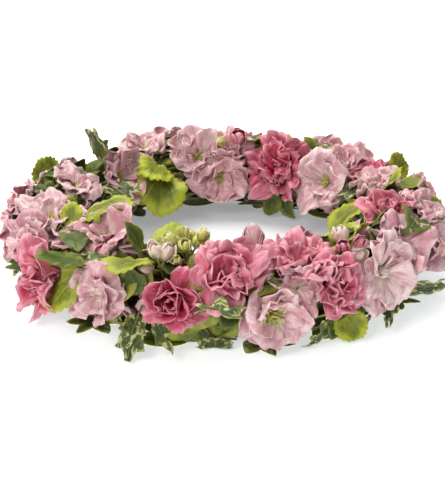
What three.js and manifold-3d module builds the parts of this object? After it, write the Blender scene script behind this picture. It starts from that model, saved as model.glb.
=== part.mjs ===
// Fresh flower lei lying flat: stock florets, spray carnations, leaves and buds,
// each on its own short stem, bound round a taped hoop of stems by a spiral of wire.
// Millimetres, +Z up, origin on the surface it lies on, in the middle of the ring.
// "around" is the angle round the ring from +X, "roll" the angle round the tube:
// 0 faces out of the ring, 90 faces up, 180 faces the hole and 270 faces down.

import * as THREE from "three";
import { mergeVertices } from "three/addons/utils/BufferGeometryUtils.js";
import Module from "manifold-3d";

const wasm = await Module();
wasm.setup();

// The ring
const RING_RADIUS = 119;       // middle of the hoop
const HOOP_HEIGHT = 31;        // middle of the hoop above the surface
const HOOP_GIRTH = 8;          // radius of the taped bundle of stems
const HOOP_SIDES = 8;
const HOOP_STEPS = 28;
const HALF_WIDTH = 36;         // flowers' reach from the hoop, sideways
const HALF_HEIGHT = 33;        // and upwards
const SLIM_ENDS = 0.1;         // the tube is this much slimmer left and right
const CENTRE_X = 1.4;          // ring's middle from the origin
const CENTRE_Y = 2.1;

// The binding wire
const WIRE_RADIUS = 0.5;
const WIRE_COIL = 9.6;         // radius of its turns round the hoop
const WIRE_TURNS = 10;
const WIRE_STEPS = 8;          // straight pieces in a turn
const WIRE_CLEARANCE = 4;      // along the hoop, between a stem's foot and the wire

// Stems and blades
const BLADE = 0.7;             // thickness of a petal or a leaf
const STEM = 1.1;              // radius of a flower's stem
const STEM_ROOT = 2.5;         // how deep it goes into the hoop
const STEM_NECK = 10.4;        // from here it widens to its calyx
const PETIOLE = 1;             // radius of a leaf's or bud's stem
const LEAF_SPACING = 2;        // between the leaves along their stem
const SEAT = 0.3;              // gap between pieces that touch
const FOOT_SEAT = 0.6;         // the same under a leaf's stem, whose foot is flat

// Room: each piece stays on its own side of a plane between it and its neighbour
const WALL = 0.6;              // blade's middle to that plane
const SOFT = 4;                // where the bend away from the plane begins
const PETAL_LIFT = 0.5;        // how much of what is pushed back rises instead
const LEAF_LIFT = 0.1;
const SHARED = -3.5;           // florets of one spray may cross by this
const LEAF_BEHIND = 4;         // leaves may hang this far below their stem's fork
const FLOOR = 0.4;             // lowest middle of a bent blade above the surface
const NEAR = 30;               // cells with a wider space between them share no plane
const PASSES = 12;             // rounds of pushing a point behind all its cell's planes
const BLOOM_MIDDLE = 0.6;      // a bloom's middle, as a share of its depth above its foot
const SPRIG_MIDDLE = 10;       // middles of the leafy stems and buds above their forks
const BACKING_MIDDLE = 8;
const BUD_MIDDLE = 4;

// Blooms: petals in layers. Lengths and widths are shares of the bloom's reach,
// angles are degrees from its axis, at the petal's foot and at its tip.
const STOCK = {
  depth: 14,
  calyx: 2.4,
  layers: [
    { count: 5, length: 1.26, width: 1.28, from: 22, to: 106, twist: 13, cup: 0, wave: 1.3 },
    { count: 3, length: 1, width: 1.05, from: 4, to: 60, twist: 10, cup: 0.1, wave: 1 },
  ],
};
const CARNATION = {
  depth: 18,
  calyx: 3.6,
  layers: [
    { count: 5, length: 1.27, width: 1.28, from: 20, to: 108, twist: 13, cup: 0, wave: 2 },
    { count: 4, length: 1.08, width: 0.85, from: 6, to: 52, twist: 12, cup: 0.1, wave: 2 },
  ],
};
const TIP_COLUMNS = [[-1, -0.35, 0.35, 1], [-1, 0, 1]];
const TIP_ROUND = 0.2;         // how far the tip's corners fall back
const TIP_CURVE = 2.4;
const PETAL_MIDDLE = 0.7;
const SPLIT = 0.5;             // where a layer's cup splits into petals
const CUP_START = 0.6;
const CUP_RISE = 0.5;          // each layer's foot above the one outside it
const NEXT_BLOOM = 47;         // turn from one bloom's petals to the next one's
const PETAL_DRAWS = { heading: 6, length: 0.05, to: 7, phase: 3 };

// Leaf outlines: place along the midrib, half width, place of the edge point.
// The first two rows are the leaf's stalk.
const LIME_LEAF = [
  [0, 0.03, 0], [0.28, 0.04, 0.27], [0.36, 0.4, 0.26], [0.52, 0.42, 0.5],
  [0.64, 0.44, 0.72], [0.8, 0.28, 0.84], [1, 0, 1],
];
const IVY_LEAF = [
  [0, 0.03, 0], [0.28, 0.04, 0.27], [0.35, 0.38, 0.2], [0.45, 0.24, 0.46],
  [0.54, 0.5, 0.68], [0.7, 0.16, 0.74], [1, 0, 1],
];
const STALK = 0.3;             // share of a leaf's length that is its stalk
const POINTED_LEAF = [
  [0, 0.03, 0], [0.26, 0.04, 0.25], [0.46, 0.32, 0.48], [0.66, 0.3, 0.74], [1, 0, 1],
];

const LEAF_FORM = { cup: -0.1, fold: 0.22, wave: 1.2, start: 0, rise: 0 };
const LEAF_DRAWS = { twist: 8, phase: 2 };

const COLOURS = {
  stock: "#d3a9b8",
  carnation: "#cf6f88",
  deepCarnation: "#c04c70",
  lime: "#9cb540",
  ivy: "#4f7434",
  leaf: "#6d9338",
  stem: "#7c9650",
  wire: "#5a6b4a",
  greenBud: "#b9c46a",
  paleBud: "#e3c6bb",
};

// Each spray: name, form, colour, then its blooms as [around, roll, reach, turn, lean].
// turn tips a bloom's face towards a higher roll, lean towards a higher around.
const BLOOMS = [
  ["stock_spray_left", STOCK, "stock", [201, 78, 19, 0, 24], [207, 32, 17, 0, 14]],
  ["stock_front_left", STOCK, "stock", [239, 8, 21, 4, -4]],
  ["stock_left_inner", STOCK, "stock", [229, 114, 20, -54]],
  ["stock_left_rear", STOCK, "stock", [168, 122, 17, -10]],
  ["stock_rear_left", STOCK, "stock", [144, 150, 20]],
  ["stock_rear_left_top", STOCK, "stock", [123, 104, 15]],
  ["stock_spray_rear", STOCK, "stock",
    [102, 141, 20], [92, 176, 20], [88, 135, 16]],
  ["stock_spray_right_rear", STOCK, "stock", [36, 158, 24], [33, 120, 19]],
  ["stock_right_rear", STOCK, "stock", [7, 115, 17]],
  ["stock_spray_right", STOCK, "stock", [346, 51, 19], [338, 22, 19]],
  ["stock_spray_right_front", STOCK, "stock", [322, 37, 20, 0, -8], [313, 17, 22, 0, -12]],
  ["stock_front", STOCK, "stock", [280.5, 355, 21, 0, 6], [288, 27, 14]],
  ["carnation_left", CARNATION, "carnation", [222, 2, 23, 0, -6]],
  ["carnation_rear", CARNATION, "deepCarnation", [63, 155, 24]],
  ["carnation_rear_right", CARNATION, "carnation", [23, 100, 14]],
  ["carnation_right", CARNATION, "deepCarnation", [341, 97, 17, 0, -20]],
  ["carnation_front_right", CARNATION, "carnation", [291, 64, 23, 12]],
  ["carnation_front_low", CARNATION, "carnation", [297.5, 21, 17, 0, 6]],
  ["carnation_front", CARNATION, "carnation", [270.5, 47, 20]],
  ["carnation_front_left", CARNATION, "deepCarnation", [258, 14, 16]],
  ["stock_spray_outer_left", STOCK, "stock", [188, 352, 18], [181, 30, 18]],
  ["stock_spray_outer_rear_left", STOCK, "stock", [158, 8, 18], [150, 22, 16]],
  ["stock_spray_outer_rear", STOCK, "stock", [118, 8, 18], [108, 20, 17]],
  ["carnation_outer_rear", CARNATION, "carnation", [84, 2, 18]],
  ["stock_spray_outer_rear_right", STOCK, "stock", [57, 14, 17], [47, 8, 18]],
  ["stock_spray_outer_right", STOCK, "stock", [16, 4, 18], [6, 24, 17]],
  ["stock_inner_left", STOCK, "stock", [206, 166, 17]],
  ["stock_inner_front_left", STOCK, "stock", [249, 178, 18]],
  ["carnation_inner_front", CARNATION, "carnation", [277, 174, 18]],
  ["stock_inner_front_right", STOCK, "stock", [304, 176, 18]],
];

// Each leafy stem: name, colour, around, roll, height of its fork above the hoop's
// middle, reach, then its leaves as [outline, heading, length, width, from, to].
// A heading of 0 points along the ring, 90 towards a higher roll.
const LEAVES = [
  ["lime_sprig_left", "lime", 235, 50, 18, 18,
    [LIME_LEAF, 224, 40, 38, 75, 118], [POINTED_LEAF, 244, 49, 30, 28, 36]],
  ["lime_sprig_left_top", "lime", 213, 92, 15, 16,
    [LIME_LEAF, 53, 49, 35, 26, 93], [POINTED_LEAF, 340, 46, 31, 51, 110],
    [LIME_LEAF, 150, 25, 15, 16, 51]],
  ["ivy_sprig_left", "ivy", 208, 352, 17, 16,
    [IVY_LEAF, 190, 24, 16, 20, 30], [IVY_LEAF, 300, 40, 36, 44, 84]],
  ["ivy_sprig_rear_left", "ivy", 154, 122, 15, 17,
    [IVY_LEAF, 335, 56, 30, 12, 42], [IVY_LEAF, 80, 44, 38, 46, 96]],
  ["lime_sprig_rear_left", "lime", 119, 140, 16, 17,
    [LIME_LEAF, 64, 50, 37, 36, 88], [LIME_LEAF, 38, 48, 30, 14, 77]],
  ["leaf_sprig_rear", "leaf", 79, 98, 14, 14,
    [POINTED_LEAF, 105, 32, 22, 24, 70], [LIME_LEAF, 190, 34, 28, 46, 96]],
  ["leaf_sprig_rear_right", "leaf", 51, 100, 14, 15,
    [POINTED_LEAF, 355, 22, 21, 29, 39], [LIME_LEAF, 20, 26, 24, 60, 100]],
  ["leaf_sprig_right_rear", "leaf", 14, 86, 14, 15,
    [POINTED_LEAF, 330, 30, 22, 50, 92], [LIME_LEAF, 200, 36, 32, 46, 96]],
  ["lime_sprig_right_inner", "lime", 4, 126, 16, 18,
    [LIME_LEAF, 112, 44, 34, 52, 110], [LIME_LEAF, 220, 38, 32, 40, 84],
    [IVY_LEAF, 30, 38, 34, 46, 95]],
  ["leaf_sprig_right", "lime", 343, 56, 17, 15,
    [LIME_LEAF, 325, 42, 30, 50, 94], [POINTED_LEAF, 177, 54, 33, 39, 106]],
  ["lime_sprig_front_right", "lime", 322, 126, 15, 17,
    [LIME_LEAF, 66, 30, 27, 52, 74], [LIME_LEAF, 200, 40, 34, 60, 104],
    [POINTED_LEAF, 346, 38, 32, 62, 92]],
  ["leaf_sprig_front", "leaf", 247, 84, 17, 16,
    [LIME_LEAF, 262, 36, 34, 50, 98], [LIME_LEAF, 71, 37, 24, 51, 94],
    [POINTED_LEAF, 180, 28, 26, 23, 30]],
  ["ivy_sprig_front_left", "ivy", 249, 354, 16, 18,
    [IVY_LEAF, 270, 40, 32, 20, 66], [IVY_LEAF, 325, 39, 24, 50, 58],
    [POINTED_LEAF, 102, 28, 28, 69, 76]],
  ["lime_sprig_front_low", "lime", 268, 328, 16, 19,
    [LIME_LEAF, 224, 36, 36, 66, 88], [IVY_LEAF, 266, 33, 28, 38, 78],
    [IVY_LEAF, 84, 37, 38, 42, 104]],
  ["ivy_sprig_front_right", "ivy", 300, 334, 16, 19,
    [LIME_LEAF, 309, 29, 22, 16, 51], [POINTED_LEAF, 251, 24, 24, 40, 51],
    [IVY_LEAF, 215, 36, 28, 40, 84]],
  ["ivy_sprig_right_low", "ivy", 321, 328, 15, 19,
    [IVY_LEAF, 14, 45, 31, 34, 74], [IVY_LEAF, 182, 40, 25, 30, 60],
    [IVY_LEAF, 190, 42, 36, 44, 86]],
];

// Leafy stems under the ring, on which it lies: around, colour, then more leaves than
// the two that lie flat
const BACKING = [
  [12, "ivy", [IVY_LEAF, 90, 56, 44, 70, 134]],
  [62, "leaf", [LIME_LEAF, 90, 56, 44, 70, 134]],
  [112, "ivy", [IVY_LEAF, 90, 56, 44, 70, 134]],
  [163, "leaf", [LIME_LEAF, 90, 56, 44, 70, 134]],
  [215, "ivy"], [266, "leaf"], [316, "ivy"],
];
const BACKING_REACH = 20;
const BACKING_FORK = 15;       // from the hoop's middle
const FLAT_LEAF_LENGTH = 52;
const FLAT_LEAF_WIDTH = 44;
const FLAT_HEADINGS = [6, 174];

// Bud sprays: name, colour, around, roll, height of the fork, reach, then the buds as
// [heading, spread, height above the fork, length, radius]
const BUDS = [
  ["bud_spray_front_green", "greenBud", 259, 94, 20, 9,
    [40, 5, 7, 6, 2.8], [150, 6, 5, 7, 3], [270, 5, 8, 6, 2.8]],
  ["bud_spray_front_pale", "paleBud", 253, 58, 20, 9,
    [60, 4, 6, 9, 3], [210, 4, 3, 9, 3]],
  ["bud_spray_right_pink", "paleBud", 305, 66, 20, 8,
    [100, 4, 6, 10, 2.8], [290, 4, 4, 9, 2.8]],
  ["bud_front_pale", "paleBud", 280, 112, 20, 9, [100, 1, 4, 13, 5]],
  ["bud_rear", "greenBud", 85, 100, 18, 8, [20, 1, 4, 11, 4]],
];

// A bud is a spindle on a stalk of its own: its places along and their radii
const BUD_STALK = 0.7;
const BUD_NECK = 0.9;
const BUD_TIP = 0.6;
const BUD_PLACES = [-0.1, 0.35, 1];

const radians = THREE.MathUtils.degToRad;
const vector = (x, y, z) => new THREE.Vector3(x, y, z);
const fraction = (number) => number - Math.floor(number);

// A repeatable draw from -1 to 1
function draw(seed, index) {
  return 2 * fraction(seed * 0.5698 + index * 0.7549 + 0.5) - 1;
}

// The hoop's middle at an angle round the ring, with its three directions
function station(around, roll) {
  const out = vector(Math.cos(radians(around)), Math.sin(radians(around)), 0);
  const up = vector(0, 0, 1);
  const along = vector(-out.y, out.x, 0);
  const turn = radians(roll);
  const outward = out.clone().multiplyScalar(Math.cos(turn));
  outward.addScaledVector(up, Math.sin(turn));
  const across = out.clone().multiplyScalar(-Math.sin(turn));
  across.addScaledVector(up, Math.cos(turn));
  const middle = out.clone().multiplyScalar(RING_RADIUS);
  middle.add(vector(CENTRE_X, CENTRE_Y, HOOP_HEIGHT));
  return { middle, along, outward, across };
}

// How far the flowers reach from the hoop
function girth(around, roll) {
  const side = Math.cos(radians(roll)) / HALF_WIDTH;
  const top = Math.sin(radians(roll)) / HALF_HEIGHT;
  const slim = 1 - SLIM_ENDS * Math.cos(radians(around)) ** 4;
  return slim / Math.hypot(side, top);
}

// A place on the tube with its own axis, and the two directions square to it
function seat(around, roll, height, turn = 0, lean = 0) {
  const place = station(around, roll);
  const foot = place.middle.clone().addScaledVector(place.outward, height);
  const axis = place.outward.clone();
  axis.addScaledVector(place.across, Math.tan(radians(turn)));
  axis.addScaledVector(place.along, Math.tan(radians(lean))).normalize();
  const first = place.along.clone();
  first.addScaledVector(axis, -first.dot(axis)).normalize();
  const second = axis.clone().cross(first);
  return { foot, axis, first, second, around, roll };
}

// Every spray, leafy stem and bud holds a cell of the tube, bounded by its neighbours'
const cells = [];

function addCell(node, place, height, reach, lift) {
  const centre = place.foot.clone().addScaledVector(place.axis, height);
  const cell = { node, place, centre, reach, lift, walls: [] };
  cells.push(cell);
  return cell;
}

function raiseWalls() {
  for (const cell of cells) {
    for (const other of cells) {
      const away = other.centre.clone().sub(cell.centre);
      const distance = away.length();
      if (other === cell || distance > cell.reach + other.reach + NEAR) {
        continue;
      }
      const normal = away.divideScalar(distance);
      const share = (distance ** 2 + cell.reach ** 2 - other.reach ** 2) / (2 * distance);
      const gap = other.node === cell.node ? SHARED : WALL;
      cell.walls.push({ normal, limit: cell.centre.dot(normal) + share - gap });
    }
    cell.walls.push({ normal: vector(0, 0, -1), limit: -FLOOR });
    const back = cell.place.axis.clone().negate();
    const behind = cell.lift === LEAF_LIFT ? LEAF_BEHIND : -WALL;
    cell.walls.push({ normal: back, limit: cell.place.foot.dot(back) + behind, hard: true });
  }
}

// Bends a point away from the cell's walls
function settle(point, cell) {
  for (const lift of [cell.lift, 0]) {
    for (const wall of cell.walls) {
      const over = wall.normal.dot(point) - wall.limit + SOFT;
      if (over > 0 && !wall.hard) {
        const kept = SOFT * (1 - Math.exp(-over / SOFT));
        point.addScaledVector(wall.normal, kept - over);
        point.addScaledVector(cell.place.axis, lift * (over - kept));
      }
    }
  }
  for (let pass = 0; pass < PASSES; pass += 1) {
    for (const wall of cell.walls) {
      const over = wall.normal.dot(point) - wall.limit;
      if (over > 0) {
        point.addScaledVector(wall.normal, -over);
      }
    }
  }
  return point;
}

// Solids
function solidOf(positions, triangles) {
  const mesh = new wasm.Mesh({
    numProp: 3,
    vertProperties: new Float32Array(positions),
    triVerts: new Uint32Array(triangles),
  });
  return new wasm.Manifold(mesh);
}

function solidOfGeometry(geometry) {
  const bare = geometry.clone();
  bare.deleteAttribute("normal");
  bare.deleteAttribute("uv");
  const merged = mergeVertices(bare);
  return solidOf(merged.attributes.position.array, merged.index.array);
}

function joinAll(solids) {
  let whole = solids[0];
  for (const solid of solids.slice(1)) {
    whole = whole.add(solid);
  }
  return whole;
}

// Triangles between two rows of points, by their place across
function stitch(rows) {
  const triangles = [];
  let start = 0;
  for (let row = 0; row + 1 < rows.length; row += 1) {
    const near = rows[row].columns;
    const far = rows[row + 1].columns;
    const next = start + near.length;
    let i = 0;
    let j = 0;
    while (i + 1 < near.length || j + 1 < far.length) {
      const nearStep = i + 1 < near.length ? near[i + 1] + near[i] : Infinity;
      const farStep = j + 1 < far.length ? far[j + 1] + far[j] : Infinity;
      if (nearStep <= farStep) {
        triangles.push([start + i, start + i + 1, next + j]);
        i += 1;
      } else {
        triangles.push([start + i, next + j + 1, next + j]);
        j += 1;
      }
    }
    start = next;
  }
  return triangles;
}

// A blade of one thickness round its middle surface, with both faces split alike
function bladeSolid(points, triangles) {
  const normals = points.map(() => vector(0, 0, 0));
  const edges = new Map();
  for (const [a, b, c] of triangles) {
    const side = points[b].clone().sub(points[a]);
    const face = side.cross(points[c].clone().sub(points[a]));
    for (const corner of [a, b, c]) {
      normals[corner].add(face);
    }
    for (const [from, to] of [[a, b], [b, c], [c, a]]) {
      const twin = `${to} ${from}`;
      if (edges.has(twin)) {
        edges.delete(twin);
      } else {
        edges.set(`${from} ${to}`, [from, to]);
      }
    }
  }
  const count = points.length;
  const positions = [];
  for (const half of [BLADE / 2, -BLADE / 2]) {
    points.forEach((point, index) => {
      const shifted = point.clone().addScaledVector(normals[index].clone().normalize(), half);
      positions.push(shifted.x, shifted.y, shifted.z);
    });
  }
  const faces = [];
  for (const [a, b, c] of triangles) {
    faces.push(a, b, c, count + c, count + b, count + a);
  }
  for (const [from, to] of edges.values()) {
    faces.push(to, from, count + from, to, count + from, count + to);
  }
  return solidOf(positions, faces);
}

// A round solid along a line of points, with a radius at each
function taper(points, radii, sides) {
  const positions = [];
  const faces = [];
  const last = points.length - 1;
  points.forEach((point, index) => {
    const ahead = points[Math.min(index + 1, last)].clone();
    const way = ahead.sub(points[Math.max(index - 1, 0)]).normalize();
    const helper = Math.abs(way.z) < 0.8 ? vector(0, 0, 1) : vector(1, 0, 0);
    const first = helper.cross(way).normalize();
    const second = way.clone().cross(first);
    for (let side = 0; side < sides; side += 1) {
      const angle = 2 * Math.PI * side / sides;
      const corner = point.clone().addScaledVector(first, radii[index] * Math.cos(angle));
      corner.addScaledVector(second, radii[index] * Math.sin(angle));
      positions.push(corner.x, corner.y, corner.z);
    }
  });
  for (let ring = 0; ring < last; ring += 1) {
    for (let side = 0; side < sides; side += 1) {
      const next = (side + 1) % sides;
      const low = ring * sides;
      const high = low + sides;
      faces.push(low + side, low + next, high + next, low + side, high + next, high + side);
    }
  }
  for (let side = 1; side + 1 < sides; side += 1) {
    const top = last * sides;
    faces.push(0, side + 1, side, top, top + side, top + side + 1);
  }
  return solidOf(positions, faces);
}

// The point of a blade's middle surface: "along" runs from foot to tip and "across"
// from edge to edge. The blade bends in an arc from one angle off the axis to another.
function bladePoint(place, blade, along, across, width) {
  const from = radians(blade.from);
  const bend = radians(blade.to) - from || 1e-6;
  const angle = from + bend * along;
  const scale = blade.length / bend;
  const run = blade.start + scale * (Math.cos(from) - Math.cos(angle));
  const rise = scale * (Math.sin(angle) - Math.sin(from));
  const heading = radians(blade.heading);
  const out = place.first.clone().multiplyScalar(Math.cos(heading));
  out.addScaledVector(place.second, Math.sin(heading));
  const side = place.first.clone().multiplyScalar(-Math.sin(heading));
  side.addScaledVector(place.second, Math.cos(heading));
  const inner = out.clone().multiplyScalar(-Math.cos(angle));
  inner.addScaledVector(place.axis, Math.sin(angle));
  const twist = radians(blade.twist);
  const reach = across * width;
  const hollow = blade.cup * across * across * width + blade.fold * Math.abs(across) * width;
  const wave = blade.wave * along * along * Math.sin(3 * across + blade.phase);
  const point = place.foot.clone().addScaledVector(out, run);
  point.addScaledVector(place.axis, rise + blade.rise);
  point.addScaledVector(side, reach * Math.cos(twist));
  point.addScaledVector(inner, reach * Math.sin(twist) + hollow + wave);
  return point;
}

// One layer of petals: a cup that splits into as many petals, each with a waved tip
function corolla(cell, layer, seed, number) {
  const points = [];
  const triangles = [];
  const step = 360 / layer.count;
  const start = NEXT_BLOOM * seed + 0.5 * number * step;
  const blades = [];
  for (let index = 0; index < layer.count; index += 1) {
    const draws = seed + 7 * number + index;
    blades.push({
      heading: start + index * step + PETAL_DRAWS.heading * draw(1, draws),
      length: layer.length * cell.reach * (1 + PETAL_DRAWS.length * draw(2, draws)),
      from: layer.from,
      to: layer.to + PETAL_DRAWS.to * draw(4, draws),
      twist: layer.twist,
      cup: layer.cup,
      fold: 0,
      wave: layer.wave,
      phase: PETAL_DRAWS.phase * draw(5, draws),
      start: CUP_START,
      rise: CUP_RISE * (1 + number),
    });
  }
  const add = (blade, along, across, width) => {
    points.push(settle(bladePoint(cell.place, blade, along, across, width), cell));
    return points.length - 1;
  };
  const bottom = cell.place.foot.clone();
  points.push(bottom.addScaledVector(cell.place.axis, CUP_RISE * (1 + number)));
  const splits = blades.map((blade) =>
    add({ ...blade, heading: blade.heading + step / 2, wave: 0 }, SPLIT, 0, 0));
  blades.forEach((blade, index) => {
    const before = splits[(index + layer.count - 1) % layer.count];
    const after = splits[index];
    const half = layer.width * cell.reach / 2;
    const tips = TIP_COLUMNS[number].map((across) => {
      const fall = TIP_ROUND * Math.abs(across) ** TIP_CURVE;
      return add(blade, 1 - fall, across, half);
    });
    const middle = number === 0 ? add(blade, PETAL_MIDDLE, 0, 0) : tips[1];
    const outline = [before, ...tips, after];
    for (let edge = 0; edge + 1 < outline.length; edge += 1) {
      if (outline[edge] !== middle && outline[edge + 1] !== middle) {
        triangles.push([outline[edge], outline[edge + 1], middle]);
      }
    }
    triangles.push([before, middle, after], [0, before, after]);
  });
  return bladeSolid(points, triangles);
}

function bloom(form, cell, seed) {
  return joinAll(form.layers.map((layer, number) => corolla(cell, layer, seed, number)));
}

function leaf(place, cell, blade, outline, flat = false) {
  const points = [];
  const rows = [];
  for (const [rib, half, edge] of outline) {
    const columns = rib === 1 ? [0] : rib < STALK ? [-1, 1] : [-1, 0, 1];
    rows.push({ columns });
    for (const across of columns) {
      const along = across ? edge : rib;
      const point = bladePoint(place, blade, along, across, half * blade.width);
      if (flat) {
        point.z = BLADE / 2;
      }
      points.push(flat ? point : settle(point, cell));
    }
  }
  return bladeSolid(points, stitch(rows));
}

function leafBlade(heading, length, width, from, to, seed) {
  return {
    ...LEAF_FORM, heading, length, width, from, to,
    twist: LEAF_DRAWS.twist * draw(6, seed),
    phase: LEAF_DRAWS.phase * draw(7, seed),
  };
}

// How far the hoop's faceted skin lies from its middle
function hoopReach(around, roll) {
  const offMiddle = (angle, facet) => radians(facet * (fraction(angle / facet) - 0.5));
  const side = 360 / HOOP_SIDES;
  const step = 360 / HOOP_STEPS;
  const reach = HOOP_GIRTH * Math.cos(radians(side / 2)) / Math.cos(offMiddle(roll, side));
  const sag = 1 - Math.cos(radians(step / 2)) / Math.cos(offMiddle(around, step));
  const sideways = Math.cos(radians(roll));
  return reach - sag * sideways * (RING_RADIUS + reach * sideways);
}

// The foot of a stem on the hoop, moved along the hoop to clear the wire. With no
// height given it stands on the hoop's skin.
function stemFoot(place, height) {
  const { around, roll } = place;
  const turn = fraction((around * WIRE_TURNS - roll) / 360 + 0.5) - 0.5;
  const pitch = 360 / WIRE_TURNS;
  const clear = WIRE_CLEARANCE / radians(RING_RADIUS);
  const shift = Math.max(0, clear - Math.abs(turn) * pitch) * (turn < 0 ? -1 : 1);
  const moved = around + shift;
  return seat(moved, roll, height ?? hoopReach(moved, roll) + FOOT_SEAT).foot;
}

function sprig(cell, leaves, seed) {
  const place = cell.place;
  const foot = stemFoot(place);
  const knee = place.foot.clone().addScaledVector(place.axis, -LEAF_SPACING * leaves.length);
  const tip = place.foot.clone().addScaledVector(place.axis, 1);
  const line = [foot, settle(knee, cell), settle(tip, cell)];
  const solids = [taper(line, [PETIOLE, PETIOLE, PETIOLE], 3)];
  leaves.forEach(([outline, heading, length, width, from, to], index) => {
    const blade = leafBlade(heading, length, width, from, to, seed + index);
    blade.rise = -LEAF_SPACING * index;
    solids.push(leaf(place, cell, blade, outline));
  });
  return joinAll(solids);
}

// A leafy stem that comes down from the hoop and spreads flat on the surface
function backing(cell, leaves, seed) {
  const place = cell.place;
  const foot = stemFoot(place);
  const low = place.foot.clone();
  low.z = BLADE / 2;
  const solids = [taper([foot, place.foot, low], [PETIOLE, PETIOLE, PETIOLE], 4)];
  for (const heading of FLAT_HEADINGS) {
    const blade = leafBlade(heading, FLAT_LEAF_LENGTH, FLAT_LEAF_WIDTH, 90, 90, seed);
    blade.wave = 0;
    solids.push(leaf({ ...place, foot: low }, cell, blade, POINTED_LEAF, true));
  }
  leaves.forEach(([bentOutline, heading, length, width, from, to], index) => {
    const blade = leafBlade(heading, length, width, from, to, seed + index);
    solids.push(leaf(place, cell, blade, bentOutline));
  });
  return joinAll(solids);
}

function budSpray(cell, buds) {
  const place = cell.place;
  const foot = stemFoot(place);
  const fork = place.foot.clone();
  const solids = [taper([foot, fork], [PETIOLE, PETIOLE], 4)];
  for (const [heading, spread, height, length, radius] of buds) {
    const out = place.first.clone().multiplyScalar(Math.cos(radians(heading)));
    out.addScaledVector(place.second, Math.sin(radians(heading)));
    const seatPoint = fork.clone().addScaledVector(place.axis, height);
    seatPoint.addScaledVector(out, spread);
    const way = seatPoint.clone().sub(fork).normalize();
    const start = fork.clone().addScaledVector(way, -0.5);
    solids.push(taper([start, seatPoint], [BUD_STALK, BUD_STALK], 3));
    const points = BUD_PLACES.map((share) =>
      seatPoint.clone().addScaledVector(way, share * length));
    solids.push(taper(points, [BUD_NECK, radius, BUD_TIP], 4));
  }
  return joinAll(solids);
}

// A flower's stem and the cup of sepals that holds its petals
function calyx(place, form) {
  const foot = stemFoot(place, HOOP_GIRTH - STEM_ROOT);
  const top = place.foot.clone().addScaledVector(place.axis, -SEAT);
  const neck = stemFoot(place, STEM_NECK);
  return taper([foot, neck, top], [STEM, STEM, form.calyx], 3);
}

function hoop() {
  const torus = new THREE.TorusGeometry(RING_RADIUS, HOOP_GIRTH, HOOP_SIDES, HOOP_STEPS);
  torus.translate(CENTRE_X, CENTRE_Y, HOOP_HEIGHT);
  return solidOfGeometry(torus);
}

// The wire: one closed spiral round the hoop
function wire() {
  const steps = WIRE_TURNS * WIRE_STEPS;
  const sides = 3;
  const positions = [];
  const faces = [];
  for (let step = 0; step < steps; step += 1) {
    const place = station(360 * step / steps, 360 * step / WIRE_STEPS);
    const point = place.middle.clone().addScaledVector(place.outward, WIRE_COIL);
    const after = station(360 * (step + 1) / steps, 360 * (step + 1) / WIRE_STEPS);
    const way = after.middle.clone().addScaledVector(after.outward, WIRE_COIL).sub(point);
    const flank = way.normalize().clone().cross(place.outward).normalize();
    for (let side = 0; side < sides; side += 1) {
      const angle = 2 * Math.PI * side / sides;
      const corner = point.clone().addScaledVector(place.outward, WIRE_RADIUS * Math.cos(angle));
      corner.addScaledVector(flank, WIRE_RADIUS * Math.sin(angle));
      positions.push(corner.x, corner.y, corner.z);
      const next = (side + 1) % sides;
      const low = step * sides;
      const high = ((step + 1) % steps) * sides;
      faces.push(low + side, high + next, high + side, low + side, low + next, high + next);
    }
  }
  return solidOf(positions, faces);
}

// The whole
const lei = new THREE.Group();

function addNode(name, solid, colour, roughness) {
  const mesh = solid.getMesh();
  const geometry = new THREE.BufferGeometry();
  geometry.setAttribute("position", new THREE.BufferAttribute(mesh.vertProperties, 3));
  geometry.setIndex(new THREE.BufferAttribute(mesh.triVerts, 1));
  geometry.computeVertexNormals();
  const material = new THREE.MeshStandardMaterial({
    color: COLOURS[colour], roughness, metalness: 0,
  });
  const node = new THREE.Mesh(geometry, material);
  node.name = name;
  lei.add(node);
}

const florets = [];
for (const [name, form, colour, ...blooms] of BLOOMS) {
  const parts = blooms.map(([around, roll, reach, turn, lean]) => {
    const height = girth(around, roll) - form.depth;
    const place = seat(around, roll, height, turn, lean);
    return addCell(name, place, BLOOM_MIDDLE * form.depth, reach, PETAL_LIFT);
  });
  florets.push({ name, form, colour, parts });
}
const sprigs = LEAVES.map(([name, colour, around, roll, height, reach, ...leaves]) => {
  const cell = addCell(name, seat(around, roll, height), SPRIG_MIDDLE, reach, LEAF_LIFT);
  return { name, colour, cell, leaves };
});
const backings = BACKING.map(([around, colour, ...leaves], index) => {
  const name = `${colour}_backing_${index + 1}`;
  const place = seat(around, 270, BACKING_FORK);
  const cell = addCell(name, place, BACKING_MIDDLE, BACKING_REACH, LEAF_LIFT);
  return { name, colour, cell, leaves };
});
const sprays = BUDS.map(([name, colour, around, roll, height, reach, ...buds]) => {
  const cell = addCell(name, seat(around, roll, height), BUD_MIDDLE, reach, LEAF_LIFT);
  return { name, colour, cell, buds };
});
raiseWalls();

const hoopParts = [hoop()];
florets.forEach(({ name, form, colour, parts }, seed) => {
  const solids = parts.map((cell, index) => bloom(form, cell, 3 * seed + index));
  parts.forEach((cell) => hoopParts.push(calyx(cell.place, form)));
  addNode(name, joinAll(solids), colour, 0.6);
});
sprigs.forEach(({ name, colour, cell, leaves }, seed) => {
  addNode(name, sprig(cell, leaves, seed), colour, 0.5);
});
backings.forEach(({ name, colour, cell, leaves }, seed) => {
  addNode(name, backing(cell, leaves, seed), colour, 0.5);
});
for (const { name, colour, cell, buds } of sprays) {
  addNode(name, budSpray(cell, buds), colour, 0.6);
}
addNode("stem_ring", joinAll(hoopParts), "stem", 0.8);
addNode("binding_wire", wire(), "wire", 0.5);

export default lei;
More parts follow.
